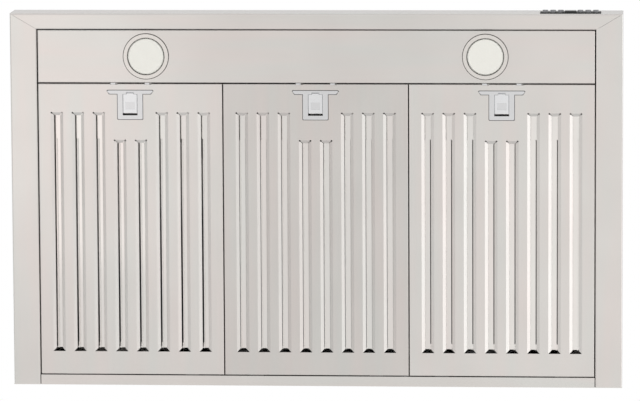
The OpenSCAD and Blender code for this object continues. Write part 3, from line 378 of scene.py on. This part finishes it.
alongX, alongY, alongZ = 0, 1, 2
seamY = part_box("rear_rail")[0].y - shadowSet["beforeRailMm"] * mm
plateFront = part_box("latch_case_middle")[0].y
finishes = {
    "steelAcross": brushedSteel("brushedSteelAcross", alongX),
    "steelDeep": brushedSteel("brushedSteelDeep", alongY),
    "steelFilter": brushedSteel("brushedSteelFilter", alongY, seamY=seamY),
    "steelMiddle": brushedSteel("brushedSteelMiddle", alongY, middleSet, seamY),
    "steelUpright": brushedSteel("brushedSteelUpright", alongZ),
    "steelInner": brushedSteel("brightRolledSteel", alongY, innerSet),
    "galvanised": galvanisedSheet("galvanisedSheet"),
    "satinChrome": satinPlate("satinChromePlate", plateFront),
    "satinTab": satinPlate("satinChromeTab", plateFront, tabSet),
    "opal": opalLens(opalSet),
    "board": circuitBoard(boardSet),
    # bright zinc-plated steel: greyish with a faint milky bloom
    "zincPlate": grainedFinish("zincPlate", "#cfd1d2", "#b9bcbe", (0.25, 0.4), 2.0, 0.01, Metallic=1.0),
    # music wire: dark polished steel
    "springWire": grainedFinish("springWire", "#a7a8aa", "#8d8e91", (0.22, 0.3), 0.6, 0.003, Metallic=1.0),
    # ground shaft steel: bright, with hardly any grain
    "shaftSteel": grainedFinish("groundSteel", "#bfc0c2", "#a8aaac", (0.15, 0.22), 1.0, 0.002, Metallic=1.0),
    # cast aluminium: pale, dull, slightly sandy
    "castAluminium": grainedFinish(
        "castAluminium", "#c9cacb", "#b3b5b6", (0.45, 0.6), 1.2, 0.05, Metallic=1.0),
    # stove enamel on the motor can: smooth grey paint with orange peel
    "motorEnamel": grainedFinish("motorEnamel", "#6b6e72", "#5e6165", (0.35, 0.42), 2.5, 0.03),
    # moulded ABS with a spark-eroded grain: dull and even
    "blackAbs": grainedFinish(
        "blackAbs", "#1a1a1b", "#111112", (0.55, 0.7), 0.9, 0.02, Specular_IOR_Level=0.3),
    "greyAbs": grainedFinish("greyAbs", "#a3a4a6", "#95969a", (0.32, 0.42), 0.9, 0.01),
    # moulded PBT: off-white and slightly waxy
    "whitePlastic": grainedFinish("whitePbt", "#dddcd6", "#d2d1cb", (0.4, 0.5), 1.2, 0.015),
    # polished smoked acrylic over the display: black and glossy
    "smokedAcrylic": grainedFinish(
        "smokedAcrylic", "#0a0b0d", "#08090a", (0.05, 0.09), 3.0, 0.001, Coat_Weight=0.5),
    # white solder mask of the lamp's board: smooth, a little glossy
    "whiteMask": grainedFinish("whiteSolderMask", "#f4f3ea", "#ebeae0", (0.3, 0.4), 1.5, 0.004),
    # silicone over yellow phosphor
    "phosphor": grainedFinish("ledPhosphor", "#f3e6a6", "#eadb92", (0.2, 0.3), 0.7, 0.004),
    # moulded nitrile rubber: black and matt
    "blackRubber": grainedFinish("nitrileRubber", "#1d1d1d", "#141414", (0.6, 0.75), 1.0, 0.03),
}
for side in lampSides:
    low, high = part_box("lamp_ring_" + side)
    finishes["spunSteel" + side.capitalize()] = spunSteel(
        "spunSteel" + side.capitalize(), ((low.x + high.x) / 2, (low.y + high.y) / 2, 0))
print("finishes made:", len(finishes))

nodeFinishes = {
    "steelAcross": ["canopy_front", "rear_rail", "light_panel", "canopy_back"],
    "steelDeep": ["canopy_left", "canopy_right"],
    "steelFilter": ["filter_face_left", "filter_face_right"],
    "steelMiddle": ["filter_face_middle"],
    "steelUpright": ["lower_cover", "upper_cover"],
    "steelInner": ["filter_baffle_" + side for side in sideNames],
    "galvanised": ["top_plate", "blower_housing", "motor_bracket", "junction_box",
                   "junction_cover", "duct_collar", "damper_front", "damper_rear",
                   "chimney_bracket", "impeller"],
    "satinChrome": ["latch_case_" + side for side in sideNames],
    "satinTab": ["latch_slide_" + side for side in sideNames],
    "spunSteelLeft": ["lamp_ring_left"],
    "spunSteelRight": ["lamp_ring_right"],
    "zincPlate": ["panel_screws", "blower_screws", "cover_screws", "lamp_springs", "damper_pin"],
    "springWire": ["latch_spring_" + side for side in sideNames],
    "shaftSteel": ["motor_shaft"],
    "castAluminium": ["lamp_cup_left", "lamp_cup_right"],
    "motorEnamel": ["motor"],
    "blackAbs": ["control_strip"],
    "greyAbs": ["button_%d" % i for i in range(1, 7)],
    "whitePlastic": ["lamp_driver", "run_capacitor"],
    "smokedAcrylic": ["display_lens"],
    "whiteMask": ["lamp_leds_left", "lamp_leds_right"],
    "opal": ["lamp_lens_left", "lamp_lens_right"],
    "blackRubber": ["cord_grommet"],
    "board": ["control_board"],
}

for finish, names in nodeFinishes.items():
    for name in names:
        slots = nodes[name].data.materials
        slots.clear()
        slots.append(finishes[finish])
print("finishes assigned to", sum(len(names) for names in nodeFinishes.values()), "nodes")


# Mesh helpers: a merged copy of a node's shape, rounded edges, turned and cut-out shapes
def copyShape(node):
    shape = bmesh.new()
    shape.from_mesh(nodes[node].data)
    bmesh.ops.remove_doubles(shape, verts=shape.verts, dist=0.005 * mm)
    bmesh.ops.dissolve_limit(shape, angle_limit=math.radians(0.5), verts=shape.verts, edges=shape.edges)
    return shape


def softenEdges(shape, widthMm, steps=3, sharpDeg=35):
    sharpest = math.radians(sharpDeg)
    sharp = [e for e in shape.edges if len(e.link_faces) == 2 and e.calc_face_angle() > sharpest]
    bmesh.ops.bevel(shape, geom=sharp, offset=widthMm * mm, segments=steps, profile=0.5,
                    affect="EDGES", clamp_overlap=True)


def lathe(profileMm, steps=64):
    shape = bmesh.new()
    rings = []
    for k in range(steps):
        a = 2 * math.pi * k / steps
        rings.append([shape.verts.new((r * mm * math.cos(a), r * mm * math.sin(a), z * mm))
                      for r, z in profileMm])
    for k, here in enumerate(rings):
        there = rings[(k + 1) % steps]
        for j in range(len(profileMm)):
            i = (j + 1) % len(profileMm)
            shape.faces.new((here[j], there[j], there[i], here[i]))
    bmesh.ops.remove_doubles(shape, verts=shape.verts, dist=0.001 * mm)
    bmesh.ops.recalc_face_normals(shape, faces=shape.faces)
    return shape


def outlineBlock(pointsMm, z0, z1):
    shape = bmesh.new()
    face = shape.faces.new([shape.verts.new((x * mm, y * mm, z0 * mm)) for x, y in pointsMm])
    raised = bmesh.ops.extrude_face_region(shape, geom=[face])["geom"]
    tops = [v for v in raised if isinstance(v, bmesh.types.BMVert)]
    bmesh.ops.translate(shape, verts=tops, vec=(0, 0, (z1 - z0) * mm))
    bmesh.ops.recalc_face_normals(shape, faces=shape.faces)
    return shape


def squareBlock(halfX, halfY, z0, z1):
    return outlineBlock([(-halfX, -halfY), (halfX, -halfY), (halfX, halfY), (-halfX, halfY)], z0, z1)


def toMesh(name, *shapes):
    whole = bmesh.new()
    for shape in shapes:
        part = shape
        if isinstance(shape, bmesh.types.BMesh):
            part = bpy.data.meshes.new("part")
            shape.to_mesh(part)
            shape.free()
        whole.from_mesh(part)
        bpy.data.meshes.remove(part)
    mesh = bpy.data.meshes.new(name)
    whole.to_mesh(mesh)
    whole.free()
    return mesh


def placePiece(name, mesh, body, finish, standsFor=(), smoothDeg=40):
    piece = bpy.data.objects.new(name, mesh)
    bpy.context.scene.collection.objects.link(piece)
    mesh.materials.clear()
    mesh.materials.append(finishes[finish])
    mesh.polygons.foreach_set("use_smooth", [True] * len(mesh.polygons))
    mesh.set_sharp_from_angle(angle=math.radians(smoothDeg))
    weighted = piece.modifiers.new("weighted", "WEIGHTED_NORMAL")
    weighted.keep_sharp = True
    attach(piece, body)
    if standsFor:
        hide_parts(*standsFor)
    return piece


# A node's own shape with rounded edges
def softPiece(node, body, finish, widthMm, steps=3):
    shape = copyShape(node)
    softenEdges(shape, widthMm, steps)
    words = node.split("_")
    name = words[0] + "".join(word.capitalize() for word in words[1:])
    return placePiece(name, toMesh(name, shape), body, finish, [node])


# Geometry Nodes: one tree sets a shape round a circle, one sets it at given points
def startTree(name, sockets):
    tree = bpy.data.node_groups.new(name, "GeometryNodeTree")
    for label, kind in sockets:
        tree.interface.new_socket(name=label, in_out="INPUT", socket_type=kind)
    tree.interface.new_socket(name="Geometry", in_out="OUTPUT", socket_type="NodeSocketGeometry")
    return tree, tree.nodes.new("NodeGroupInput").outputs, tree.nodes.new("NodeGroupOutput")


def setOut(tree, points, aim, axis, given, output):
    item = addNode(tree, "GeometryNodeObjectInfo", {"Object": given["Item"], "As Instance": True})
    turned = addNode(tree, "FunctionNodeAlignRotationToVector", {"Vector": aim}, axis=axis)
    spread = addNode(tree, "GeometryNodeInstanceOnPoints", {
        "Points": points, "Instance": item.outputs["Geometry"], "Rotation": turned.outputs["Rotation"]})
    real = addNode(tree, "GeometryNodeRealizeInstances", {"Geometry": spread.outputs["Instances"]})
    painted = addNode(tree, "GeometryNodeSetMaterial", {
        "Geometry": real.outputs["Geometry"], "Material": given["Finish"]})
    setInputs(tree, output, {"Geometry": painted.outputs["Geometry"]})
    return tree


def circleTree():
    tree, given, output = startTree("setRoundCircle", [
        ("Item", "NodeSocketObject"), ("Finish", "NodeSocketMaterial"),
        ("Count", "NodeSocketInt"), ("Radius", "NodeSocketFloat")])
    ring = addNode(tree, "GeometryNodeMeshCircle", {"Vertices": given["Count"], "Radius": given["Radius"]})
    outward = addNode(tree, "GeometryNodeInputPosition").outputs["Position"]
    return setOut(tree, ring.outputs["Mesh"], outward, "X", given, output)


def pointTree():
    tree, given, output = startTree("setAtPoints", [
        ("Points", "NodeSocketGeometry"), ("Item", "NodeSocketObject"), ("Finish", "NodeSocketMaterial")])
    aim = addNode(tree, "GeometryNodeInputNamedAttribute", {"Name": "aim"}, data_type="FLOAT_VECTOR")
    return setOut(tree, given["Points"], aim.outputs["Attribute"], "Z", given, output)


roundCircle = circleTree()
atPoints = pointTree()


def grow(tree, hostMesh, itemMesh, finish, **values):
    host = bpy.data.objects.new("host", hostMesh)
    item = bpy.data.objects.new("item", itemMesh)
    for thing in (host, item):
        bpy.context.scene.collection.objects.link(thing)
    modifier = host.modifiers.new("grow", "NODES")
    modifier.node_group = tree
    sockets = {entry.name: entry.identifier for entry in tree.interface.items_tree if entry.in_out == "INPUT"}
    for label, value in dict(values, Item=item, Finish=finishes[finish]).items():
        modifier[sockets[label]] = value
    evaluated = host.evaluated_get(bpy.context.evaluated_depsgraph_get())
    mesh = bpy.data.meshes.new_from_object(evaluated)
    host.modifiers.remove(modifier)
    for thing in (host, item):
        bpy.data.objects.remove(thing)
    return mesh


def growCircle(itemMesh, finish, count, radiusMm, matrix):
    mesh = grow(roundCircle, bpy.data.meshes.new("empty"), itemMesh, finish, Count=count, Radius=radiusMm * mm)
    mesh.transform(matrix)
    return mesh


# Latches: die-cast plates and sliding tabs with rounded edges, each tab with a return coil
latchSet = {"caseEdgeMm": 0.6, "tabEdgeMm": 0.5, "travelMm": 3, "coilTurns": 9, "wireMm": 0.32,
            "stepsPerTurn": 12, "coilSmoothDeg": 60}


def coilSpring(node, s):
    low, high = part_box(node)
    middle = (low + high) / 2
    wireR = s["wireMm"] * mm
    coilR = (high.x - low.x) / 2 - wireR
    steps = s["coilTurns"] * s["stepsPerTurn"]
    wire = bpy.data.curves.new("coil", "CURVE")
    wire.dimensions = "3D"
    wire.bevel_depth = wireR
    wire.bevel_resolution = 2
    wire.use_fill_caps = True
    spline = wire.splines.new("POLY")
    spline.points.add(steps)
    for k in range(steps + 1):
        a = 2 * math.pi * k / s["stepsPerTurn"]
        y = low.y + wireR + (high.y - low.y - 2 * wireR) * k / steps
        spline.points[k].co = (middle.x + coilR * math.cos(a), y, middle.z + coilR * math.sin(a), 1)
    coil = bpy.data.objects.new("coil", wire)
    bpy.context.scene.collection.objects.link(coil)
    mesh = bpy.data.meshes.new_from_object(coil.evaluated_get(bpy.context.evaluated_depsgraph_get()))
    bpy.data.objects.remove(coil)
    return mesh


def makeLatch(side, s):
    softPiece("latch_case_" + side, "filter_" + side, "satinChrome", s["caseEdgeMm"])
    softPiece("latch_slide_" + side, "latch_" + side, "satinTab", s["tabEdgeMm"])
    springNode = "latch_spring_" + side
    bodies = frame["record"]["behaviour"]["bodies"]
    carrier = next(body for body, names in bodies.items() if springNode in names)
    coil = placePiece("latchCoil" + side.capitalize(), coilSpring(springNode, s), carrier,
                      "springWire", [springNode], s["coilSmoothDeg"])
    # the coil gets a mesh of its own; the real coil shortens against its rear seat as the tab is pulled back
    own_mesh(coil)


for side in sideNames:
    makeLatch(side, latchSet)
print("latches made")

# Lamps: opal lens over a white board with rings of chips, in a cast cup with fins
lampSet = {
    "boardR": 26.3,
    "boardZ": (9.8, 11.4),
    "chipMm": 3.6,
    "chipHighMm": 0.7,
    "chipEdgeMm": 0.2,
    "domeMm": ((0, 0.95), (0.9, 0.9), (1.35, 0.65), (0, 0.65)),
    "middleChips": 1,
    "chipRings": ((6, 8.5), (12, 17.5)),
    "finCount": 22,
    "finR": (10, 26.6),
    "finZ": (13.3, 31),
    "finMm": 1.3,
    "finEdgeMm": 0.3,
    "cupEdgeMm": 0.5,
    "lensEdgeMm": 0.3,
}


def makeChips(label, side, makeItem, finish, place, s):
    found = []
    for count, ring in ((s["middleChips"], 0),) + s["chipRings"]:
        itemMesh = toMesh("item", makeItem())
        if count > 1:
            itemMesh = growCircle(itemMesh, finish, count, ring, place)
        else:
            itemMesh.transform(place)
        found.append(itemMesh)
    placePiece(label + side.capitalize(), toMesh(label, *found), "hood", finish)


def makeLamp(side, s):
    low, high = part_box("lamp_leds_" + side)
    middle = (low + high) / 2
    place = Matrix.Translation((middle.x, middle.y, 0))
    z0, z1 = s["boardZ"]
    board = toMesh("board", lathe([(0, z0), (s["boardR"], z0), (s["boardR"], z1), (0, z1)]))
    board.transform(place)
    placePiece("ledBoard" + side.capitalize(), board, "hood", "whiteMask", ["lamp_leds_" + side])

    def chipFrame():
        item = squareBlock(s["chipMm"] / 2, s["chipMm"] / 2, z0 - s["chipHighMm"], z0)
        softenEdges(item, s["chipEdgeMm"], 2)
        return item

    def chipDome():
        return lathe([(r, z0 - up) for r, up in s["domeMm"]], 16)

    makeChips("chipFrames", side, chipFrame, "whitePlastic", place, s)
    makeChips("chipDomes", side, chipDome, "phosphor", place, s)
    r0, r1 = s["finR"]
    fin = squareBlock((r1 - r0) / 2, s["finMm"] / 2, *s["finZ"])
    softenEdges(fin, s["finEdgeMm"], 2)
    fins = growCircle(toMesh("fin", fin), "castAluminium", s["finCount"], (r0 + r1) / 2, place)
    placePiece("cupFins" + side.capitalize(), fins, "hood", "castAluminium")
    softPiece("lamp_cup_" + side, "hood", "castAluminium", s["cupEdgeMm"])
    softPiece("lamp_lens_" + side, "hood", "opal", s["lensEdgeMm"])


for side in lampSides:
    makeLamp(side, lampSet)
print("lamps made")

# Control strip, buttons and display
controlSet = {"stripEdgeMm": 0.7, "buttonEdgeMm": 0.9, "displayEdgeMm": 0.25}
softPiece("control_strip", "hood", "blackAbs", controlSet["stripEdgeMm"])
softPiece("display_lens", "hood", "smokedAcrylic", controlSet["displayEdgeMm"], 2)
for i in range(1, 7):
    softPiece("button_%d" % i, "push_%d" % i, "greyAbs", controlSet["buttonEdgeMm"])
print("controls made")


# Screws: pan heads with a cross recess and a rolled thread, sized and set from the CAD screws
screwSet = {
    "crownMm": 0.7,
    "headSteps": 32,
    "recessMm": 1.9,
    "recessWideMm": 0.62,
    "recessDeepMm": 1.0,
    "recessTaper": 0.8,
    "pitchMm": 0.8,
    "threadMm": 0.28,
    "tipMm": 1,
    "tipTaper": 0.6,
    "threadSteps": 20,
}


# The corner points of each screw in a node
def screwPoints(node):
    shape = copyShape(node)
    groups = []
    for v in shape.verts:
        v.tag = False
    for seed in shape.verts:
        if seed.tag:
            continue
        seed.tag = True
        stack, group = [seed], []
        while stack:
            v = stack.pop()
            group.append(v.co.copy())
            for e in v.link_edges:
                other = e.other_vert(v)
                if not other.tag:
                    other.tag = True
                    stack.append(other)
        groups.append(group)
    shape.free()
    return groups


def measureScrew(points):
    low = Vector([min(p[i] for p in points) for i in range(3)])
    high = Vector([max(p[i] for p in points) for i in range(3)])
    size, middle = high - low, (low + high) / 2
    # a round screw is equally wide both ways across its axis
    axis = min(range(3), key=lambda i: abs(size[i - 1] - size[i - 2]))
    across = [i for i in range(3) if i != axis]
    fromAxis = [(math.hypot(*(p[i] - middle[i] for i in across)), p[axis]) for p in points]
    # the outermost points are the head's rim, the innermost off the axis are the shank
    headR = max(r for r, along in fromAxis)
    headAt = [along for r, along in fromAxis if r > 0.95 * headR]
    shankR = min(r for r, along in fromAxis if r > 0.2 * headR)
    towards = Vector([0, 0, 0])
    towards[axis] = 1 if sum(headAt) / len(headAt) > middle[axis] else -1
    headEnd = middle + towards * size[axis] / 2
    headH = max(headAt) - min(headAt)
    return headEnd, towards, headR / mm, headH / mm, shankR / mm, size[axis] / mm


def screwShape(headR, headH, shankR, length, s):
    rim = headR - s["crownMm"]
    head = lathe([(rim, 0), (headR - 0.2, -0.25), (headR, -s["crownMm"]), (headR, -headH), (0, -headH)],
                 s["headSteps"])
    cap = bmesh.new()
    ring = [cap.verts.new((rim * mm * math.cos(a), rim * mm * math.sin(a), 0))
            for a in (2 * math.pi * k / s["headSteps"] for k in range(s["headSteps"]))]
    w, l = s["recessWideMm"] / 2, s["recessMm"]
    cross = [(l, -w), (l, w), (w, w), (w, l), (-w, l), (-w, w),
             (-l, w), (-l, -w), (-w, -w), (-w, -l), (w, -l), (w, -w)]
    mouth = [cap.verts.new((x * mm, y * mm, 0)) for x, y in cross]
    edges = [cap.edges.new((loop[i - 1], loop[i])) for loop in (ring, mouth) for i in range(len(loop))]
    bmesh.ops.triangle_fill(cap, use_beauty=True, edges=edges)
    taper = s["recessTaper"]
    floor = [cap.verts.new((x * mm * taper, y * mm * taper, -s["recessDeepMm"] * mm)) for x, y in cross]
    for i in range(len(cross)):
        cap.faces.new((mouth[i - 1], mouth[i], floor[i], floor[i - 1]))
    cap.faces.new(floor)
    bmesh.ops.recalc_face_normals(cap, faces=cap.faces)
    turns = int((length - headH - s["tipMm"]) / s["pitchMm"])
    thread = [(0, -headH), (shankR, -headH)]
    for k in range(turns):
        z = -headH - s["pitchMm"] * (k + 0.5)
        thread += [(shankR - s["threadMm"], z), (shankR, z - s["pitchMm"] / 2)]
    thread += [(shankR * s["tipTaper"], -length), (0, -length)]
    return toMesh("screw", head, cap, lathe(thread, s["threadSteps"]))


def makeScrews(name, node, s):
    kinds = {}
    for group in screwPoints(node):
        headEnd, towards, *sizes = measureScrew(group)
        kinds.setdefault(tuple(round(v, 1) for v in sizes), []).append((headEnd, towards))
    grown = []
    for sizes, placed in sorted(kinds.items()):
        points = bpy.data.meshes.new("points")
        points.from_pydata([tuple(p) for p, aim in placed], [], [])
        aims = points.attributes.new("aim", "FLOAT_VECTOR", "POINT")
        aims.data.foreach_set("vector", [c for p, aim in placed for c in aim])
        grown.append(grow(atPoints, points, screwShape(*sizes, s), "zincPlate"))
    placePiece(name, toMesh(name, *grown), "hood", "zincPlate", [node])


makeScrews("panelScrews", "panel_screws", screwSet)
makeScrews("blowerScrews", "blower_screws", screwSet)
makeScrews("coverScrews", "cover_screws", screwSet)
print("screws made")

# Blower: motor can with rolled grooves, impeller with curved blades; all measures are in mm
shaftPlace = (0, -100, 135)
motorSet = {
    "x": (-80, -20),
    "r": 40,
    "edge": (0.8, 3),
    "grooveDeep": 1.1,
    "groovesFromEnd": (12, 15),
    "bossR": 12,
    "bossX": -9,
    "bossEdge": 0.6,
    "bossFoot": 2,
    "boreR": 4.2,
    "boreDeep": 29,
}
impellerSet = {
    "bladeCount": 36,
    "bladeR": (60.4, 71.7),
    "bladeHalf": 66,
    "bladeThick": 0.8,
    "bladeBow": 2.4,
    "bladeSteps": 6,
    "bladeTiltDeg": 24,
    "bladeShare": 0.9,
    "ringHigh": 1.2,
    "ringPast": 0.3,
    "hubX": (-6, 12),
    "hubR": 10,
    "shaftR": 4,
    "discThick": 1.5,
    "dishR": (24, 28),
    "rimFold": 4,
}


def alongShaft():
    return Matrix.Translation(Vector(shaftPlace) * mm) @ Matrix.Rotation(math.radians(90), 4, "Y")


def makeMotor(s):
    x0, x1 = s["x"]
    r, deep = s["r"], s["grooveDeep"]
    small, wide = s["edge"]
    near, far = s["groovesFromEnd"]
    profile = [(0, x0), (r - wide, x0), (r - small, x0 + small), (r, x0 + wide)]
    for at in (x0 + near, x0 + far, x1 - far, x1 - near):
        profile += [(r, at - deep), (r - deep, at - deep / 3), (r - deep, at + deep / 3), (r, at + deep)]
    profile += [(r, x1 - wide), (r - small, x1 - small), (r - wide, x1),
                (s["bossR"] + s["bossFoot"], x1), (s["bossR"], x1 + s["bossFoot"]),
                (s["bossR"], s["bossX"] - s["bossEdge"]), (s["bossR"] - s["bossEdge"], s["bossX"]),
                (s["boreR"], s["bossX"]), (s["boreR"], x1 - s["boreDeep"]), (0, x1 - s["boreDeep"])]
    mesh = toMesh("motor", lathe(profile))
    mesh.transform(alongShaft())
    placePiece("motorCan", mesh, "hood", "motorEnamel", ["motor"])


def makeImpeller(s):
    r0, r1 = s["bladeR"]
    outer, inner = [], []
    for k in range(s["bladeSteps"] + 1):
        t = k / s["bladeSteps"]
        x = (r1 - r0) * (t - 0.5)
        y = s["bladeBow"] * (1 - (2 * t - 1) ** 2)
        outer.append((x, y + s["bladeThick"] / 2))
        inner.append((x, y - s["bladeThick"] / 2))
    blade = toMesh("blade", outlineBlock(inner + outer[::-1], -s["bladeHalf"], s["bladeHalf"]))
    tilt = Matrix.Rotation(math.radians(s["bladeTiltDeg"]), 4, "Z")
    blade.transform(Matrix.Scale(s["bladeShare"], 4, (1, 0, 0)) @ tilt)
    blades = growCircle(blade, "galvanised", s["bladeCount"], (r0 + r1) / 2, Matrix.Identity(4))
    ringR, high = r1 + s["ringPast"], s["ringHigh"]
    rings = [lathe([(r0, z), (ringR, z), (ringR, z + high), (r0, z + high)])
             for z in (-s["bladeHalf"], s["bladeHalf"] - high)]
    h0, h1 = s["hubX"]
    thick, fold = s["discThick"], r0 - s["rimFold"]
    d0, d1 = s["dishR"]
    # the disc dips round the hub and lies flat under the blades
    disc = lathe([(s["shaftR"], 0), (s["shaftR"], h0), (s["hubR"], h0), (s["hubR"], 0), (d0, 0), (d1, thick),
                  (fold, thick), (r0, 0), (r1, 0), (r1, thick), (r0 + 0.5, thick), (fold, 2 * thick),
                  (d1 - 1, 2 * thick), (d0 - 1, thick), (s["hubR"], thick), (s["hubR"], h1), (s["shaftR"], h1)])
    mesh = toMesh("impeller", blades, disc, *rings)
    mesh.transform(alongShaft())
    placePiece("fanWheel", mesh, "rotor", "galvanised", ["impeller"])


makeMotor(motorSet)
makeImpeller(impellerSet)

# Wiring parts: moulded, with rounded edges
wiringSet = {"capacitorEdgeMm": 1.2, "grommetEdgeMm": 0.7, "driverEdgeMm": 1.2}
softPiece("run_capacitor", "hood", "whitePlastic", wiringSet["capacitorEdgeMm"])
softPiece("cord_grommet", "hood", "blackRubber", wiringSet["grommetEdgeMm"])
softPiece("lamp_driver", "hood", "whitePlastic", wiringSet["driverEdgeMm"])
print("blower and wiring pieces made")

# World, floor and lights. The background is white; what the metal mirrors is a pale floor
# that is brighter at the left, dim walls, and a bright panel level with the hood at the right.
studioSet = {
    "background": "#ffffff",
    "level": 0.555,  # strength of the world at eye level
    "above": 1.17,  # and from this height up
    "aboveFrom": 0.6,
    "zenith": 0.78,
    "zenithFrom": (0.8, 0.97),
}
floorSet = {"drop": 24, "half": 94, "light": "#f7f5f4", "dark": "#f3f2f0", "roughness": (0.6, 0.7),
            "grainMm": 400.0}
softLights = [
    # name, place, size, radiance, facing, colour
    ("lowLeft", (-0.81, -0.244, -2.3), (0.665, 0.797), 0.32, (0, 0, 1), "#fff4f0"),
    ("lowRight", (0.408, 0.026, -2.3), (0.443, 1.063), 0.15, (0, 0, 1), "#fffefa"),
    ("sideRight", (3.2, 0.0, -0.55), (4.0, 1.7), 0.85, (-1, 0, 0), "#ffffff"),
]


def makeWorld(s):
    world = bpy.data.worlds.new("studio")
    bpy.context.scene.world = world
    world.use_nodes = True
    tree = world.node_tree
    place = addNode(tree, "ShaderNodeTexCoord").outputs["Generated"]
    split = addNode(tree, "ShaderNodeSeparateXYZ", {"Vector": place})
    height = addNode(tree, "ShaderNodeMath", {0: split.outputs["Z"]}, operation="ABSOLUTE").outputs[0]
    sides = addNode(tree, "ShaderNodeMapRange", {
        "Value": height, "From Min": 0.0, "From Max": s["aboveFrom"],
        "To Min": s["level"], "To Max": s["above"]})
    topLow, topHigh = s["zenithFrom"]
    top = addNode(tree, "ShaderNodeMapRange", {
        "Value": split.outputs["Z"], "From Min": topLow, "From Max": topHigh,
        "To Min": 1.0, "To Max": s["zenith"] / s["above"]})
    total = addNode(tree, "ShaderNodeMath", {0: sides.outputs[0], 1: top.outputs[0]}, operation="MULTIPLY")
    seen = addNode(tree, "ShaderNodeLightPath").outputs["Is Camera Ray"]
    strength = addNode(tree, "ShaderNodeMapRange", {"Value": seen, "To Min": total.outputs[0], "To Max": 1.0})
    setInputs(tree, tree.nodes["Background"], {"Color": s["background"], "Strength": strength.outputs[0]})


def makeFloor(s):
    mesh = bpy.data.meshes.new("floor")
    half = s["half"]
    corners = [(x, y, -s["drop"]) for x, y in ((-half, -half), (half, -half), (half, half), (-half, half))]
    mesh.from_pydata(corners, [], [(0, 1, 2, 3)])
    floor = bpy.data.objects.new("floor", mesh)
    bpy.context.scene.collection.objects.link(floor)
    mesh.materials.append(
        grainedFinish("paleFloor", s["light"], s["dark"], s["roughness"], s["grainMm"], bumpMm=0.0))
    floor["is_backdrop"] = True


def makeSoftLight(name, place, size, radiance, facing, colour):
    light = bpy.data.lights.new(name, "AREA")
    light.shape = "RECTANGLE"
    light.size, light.size_y = size
    light.color = linearColour(colour)[:3]
    light.energy = radiance * math.pi * size[0] * size[1]  # an area light's watts for that radiance
    lamp = bpy.data.objects.new(name, light)
    lamp.matrix_world = Matrix.Translation(place) @ Vector(facing).to_track_quat("-Z", "Y").to_matrix().to_4x4()
    bpy.context.scene.collection.objects.link(lamp)


makeWorld(studioSet)
makeFloor(floorSet)
for row in softLights:
    makeSoftLight(*row)
bpy.context.scene.view_settings.view_transform = "Standard"
print("studio made")

low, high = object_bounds()
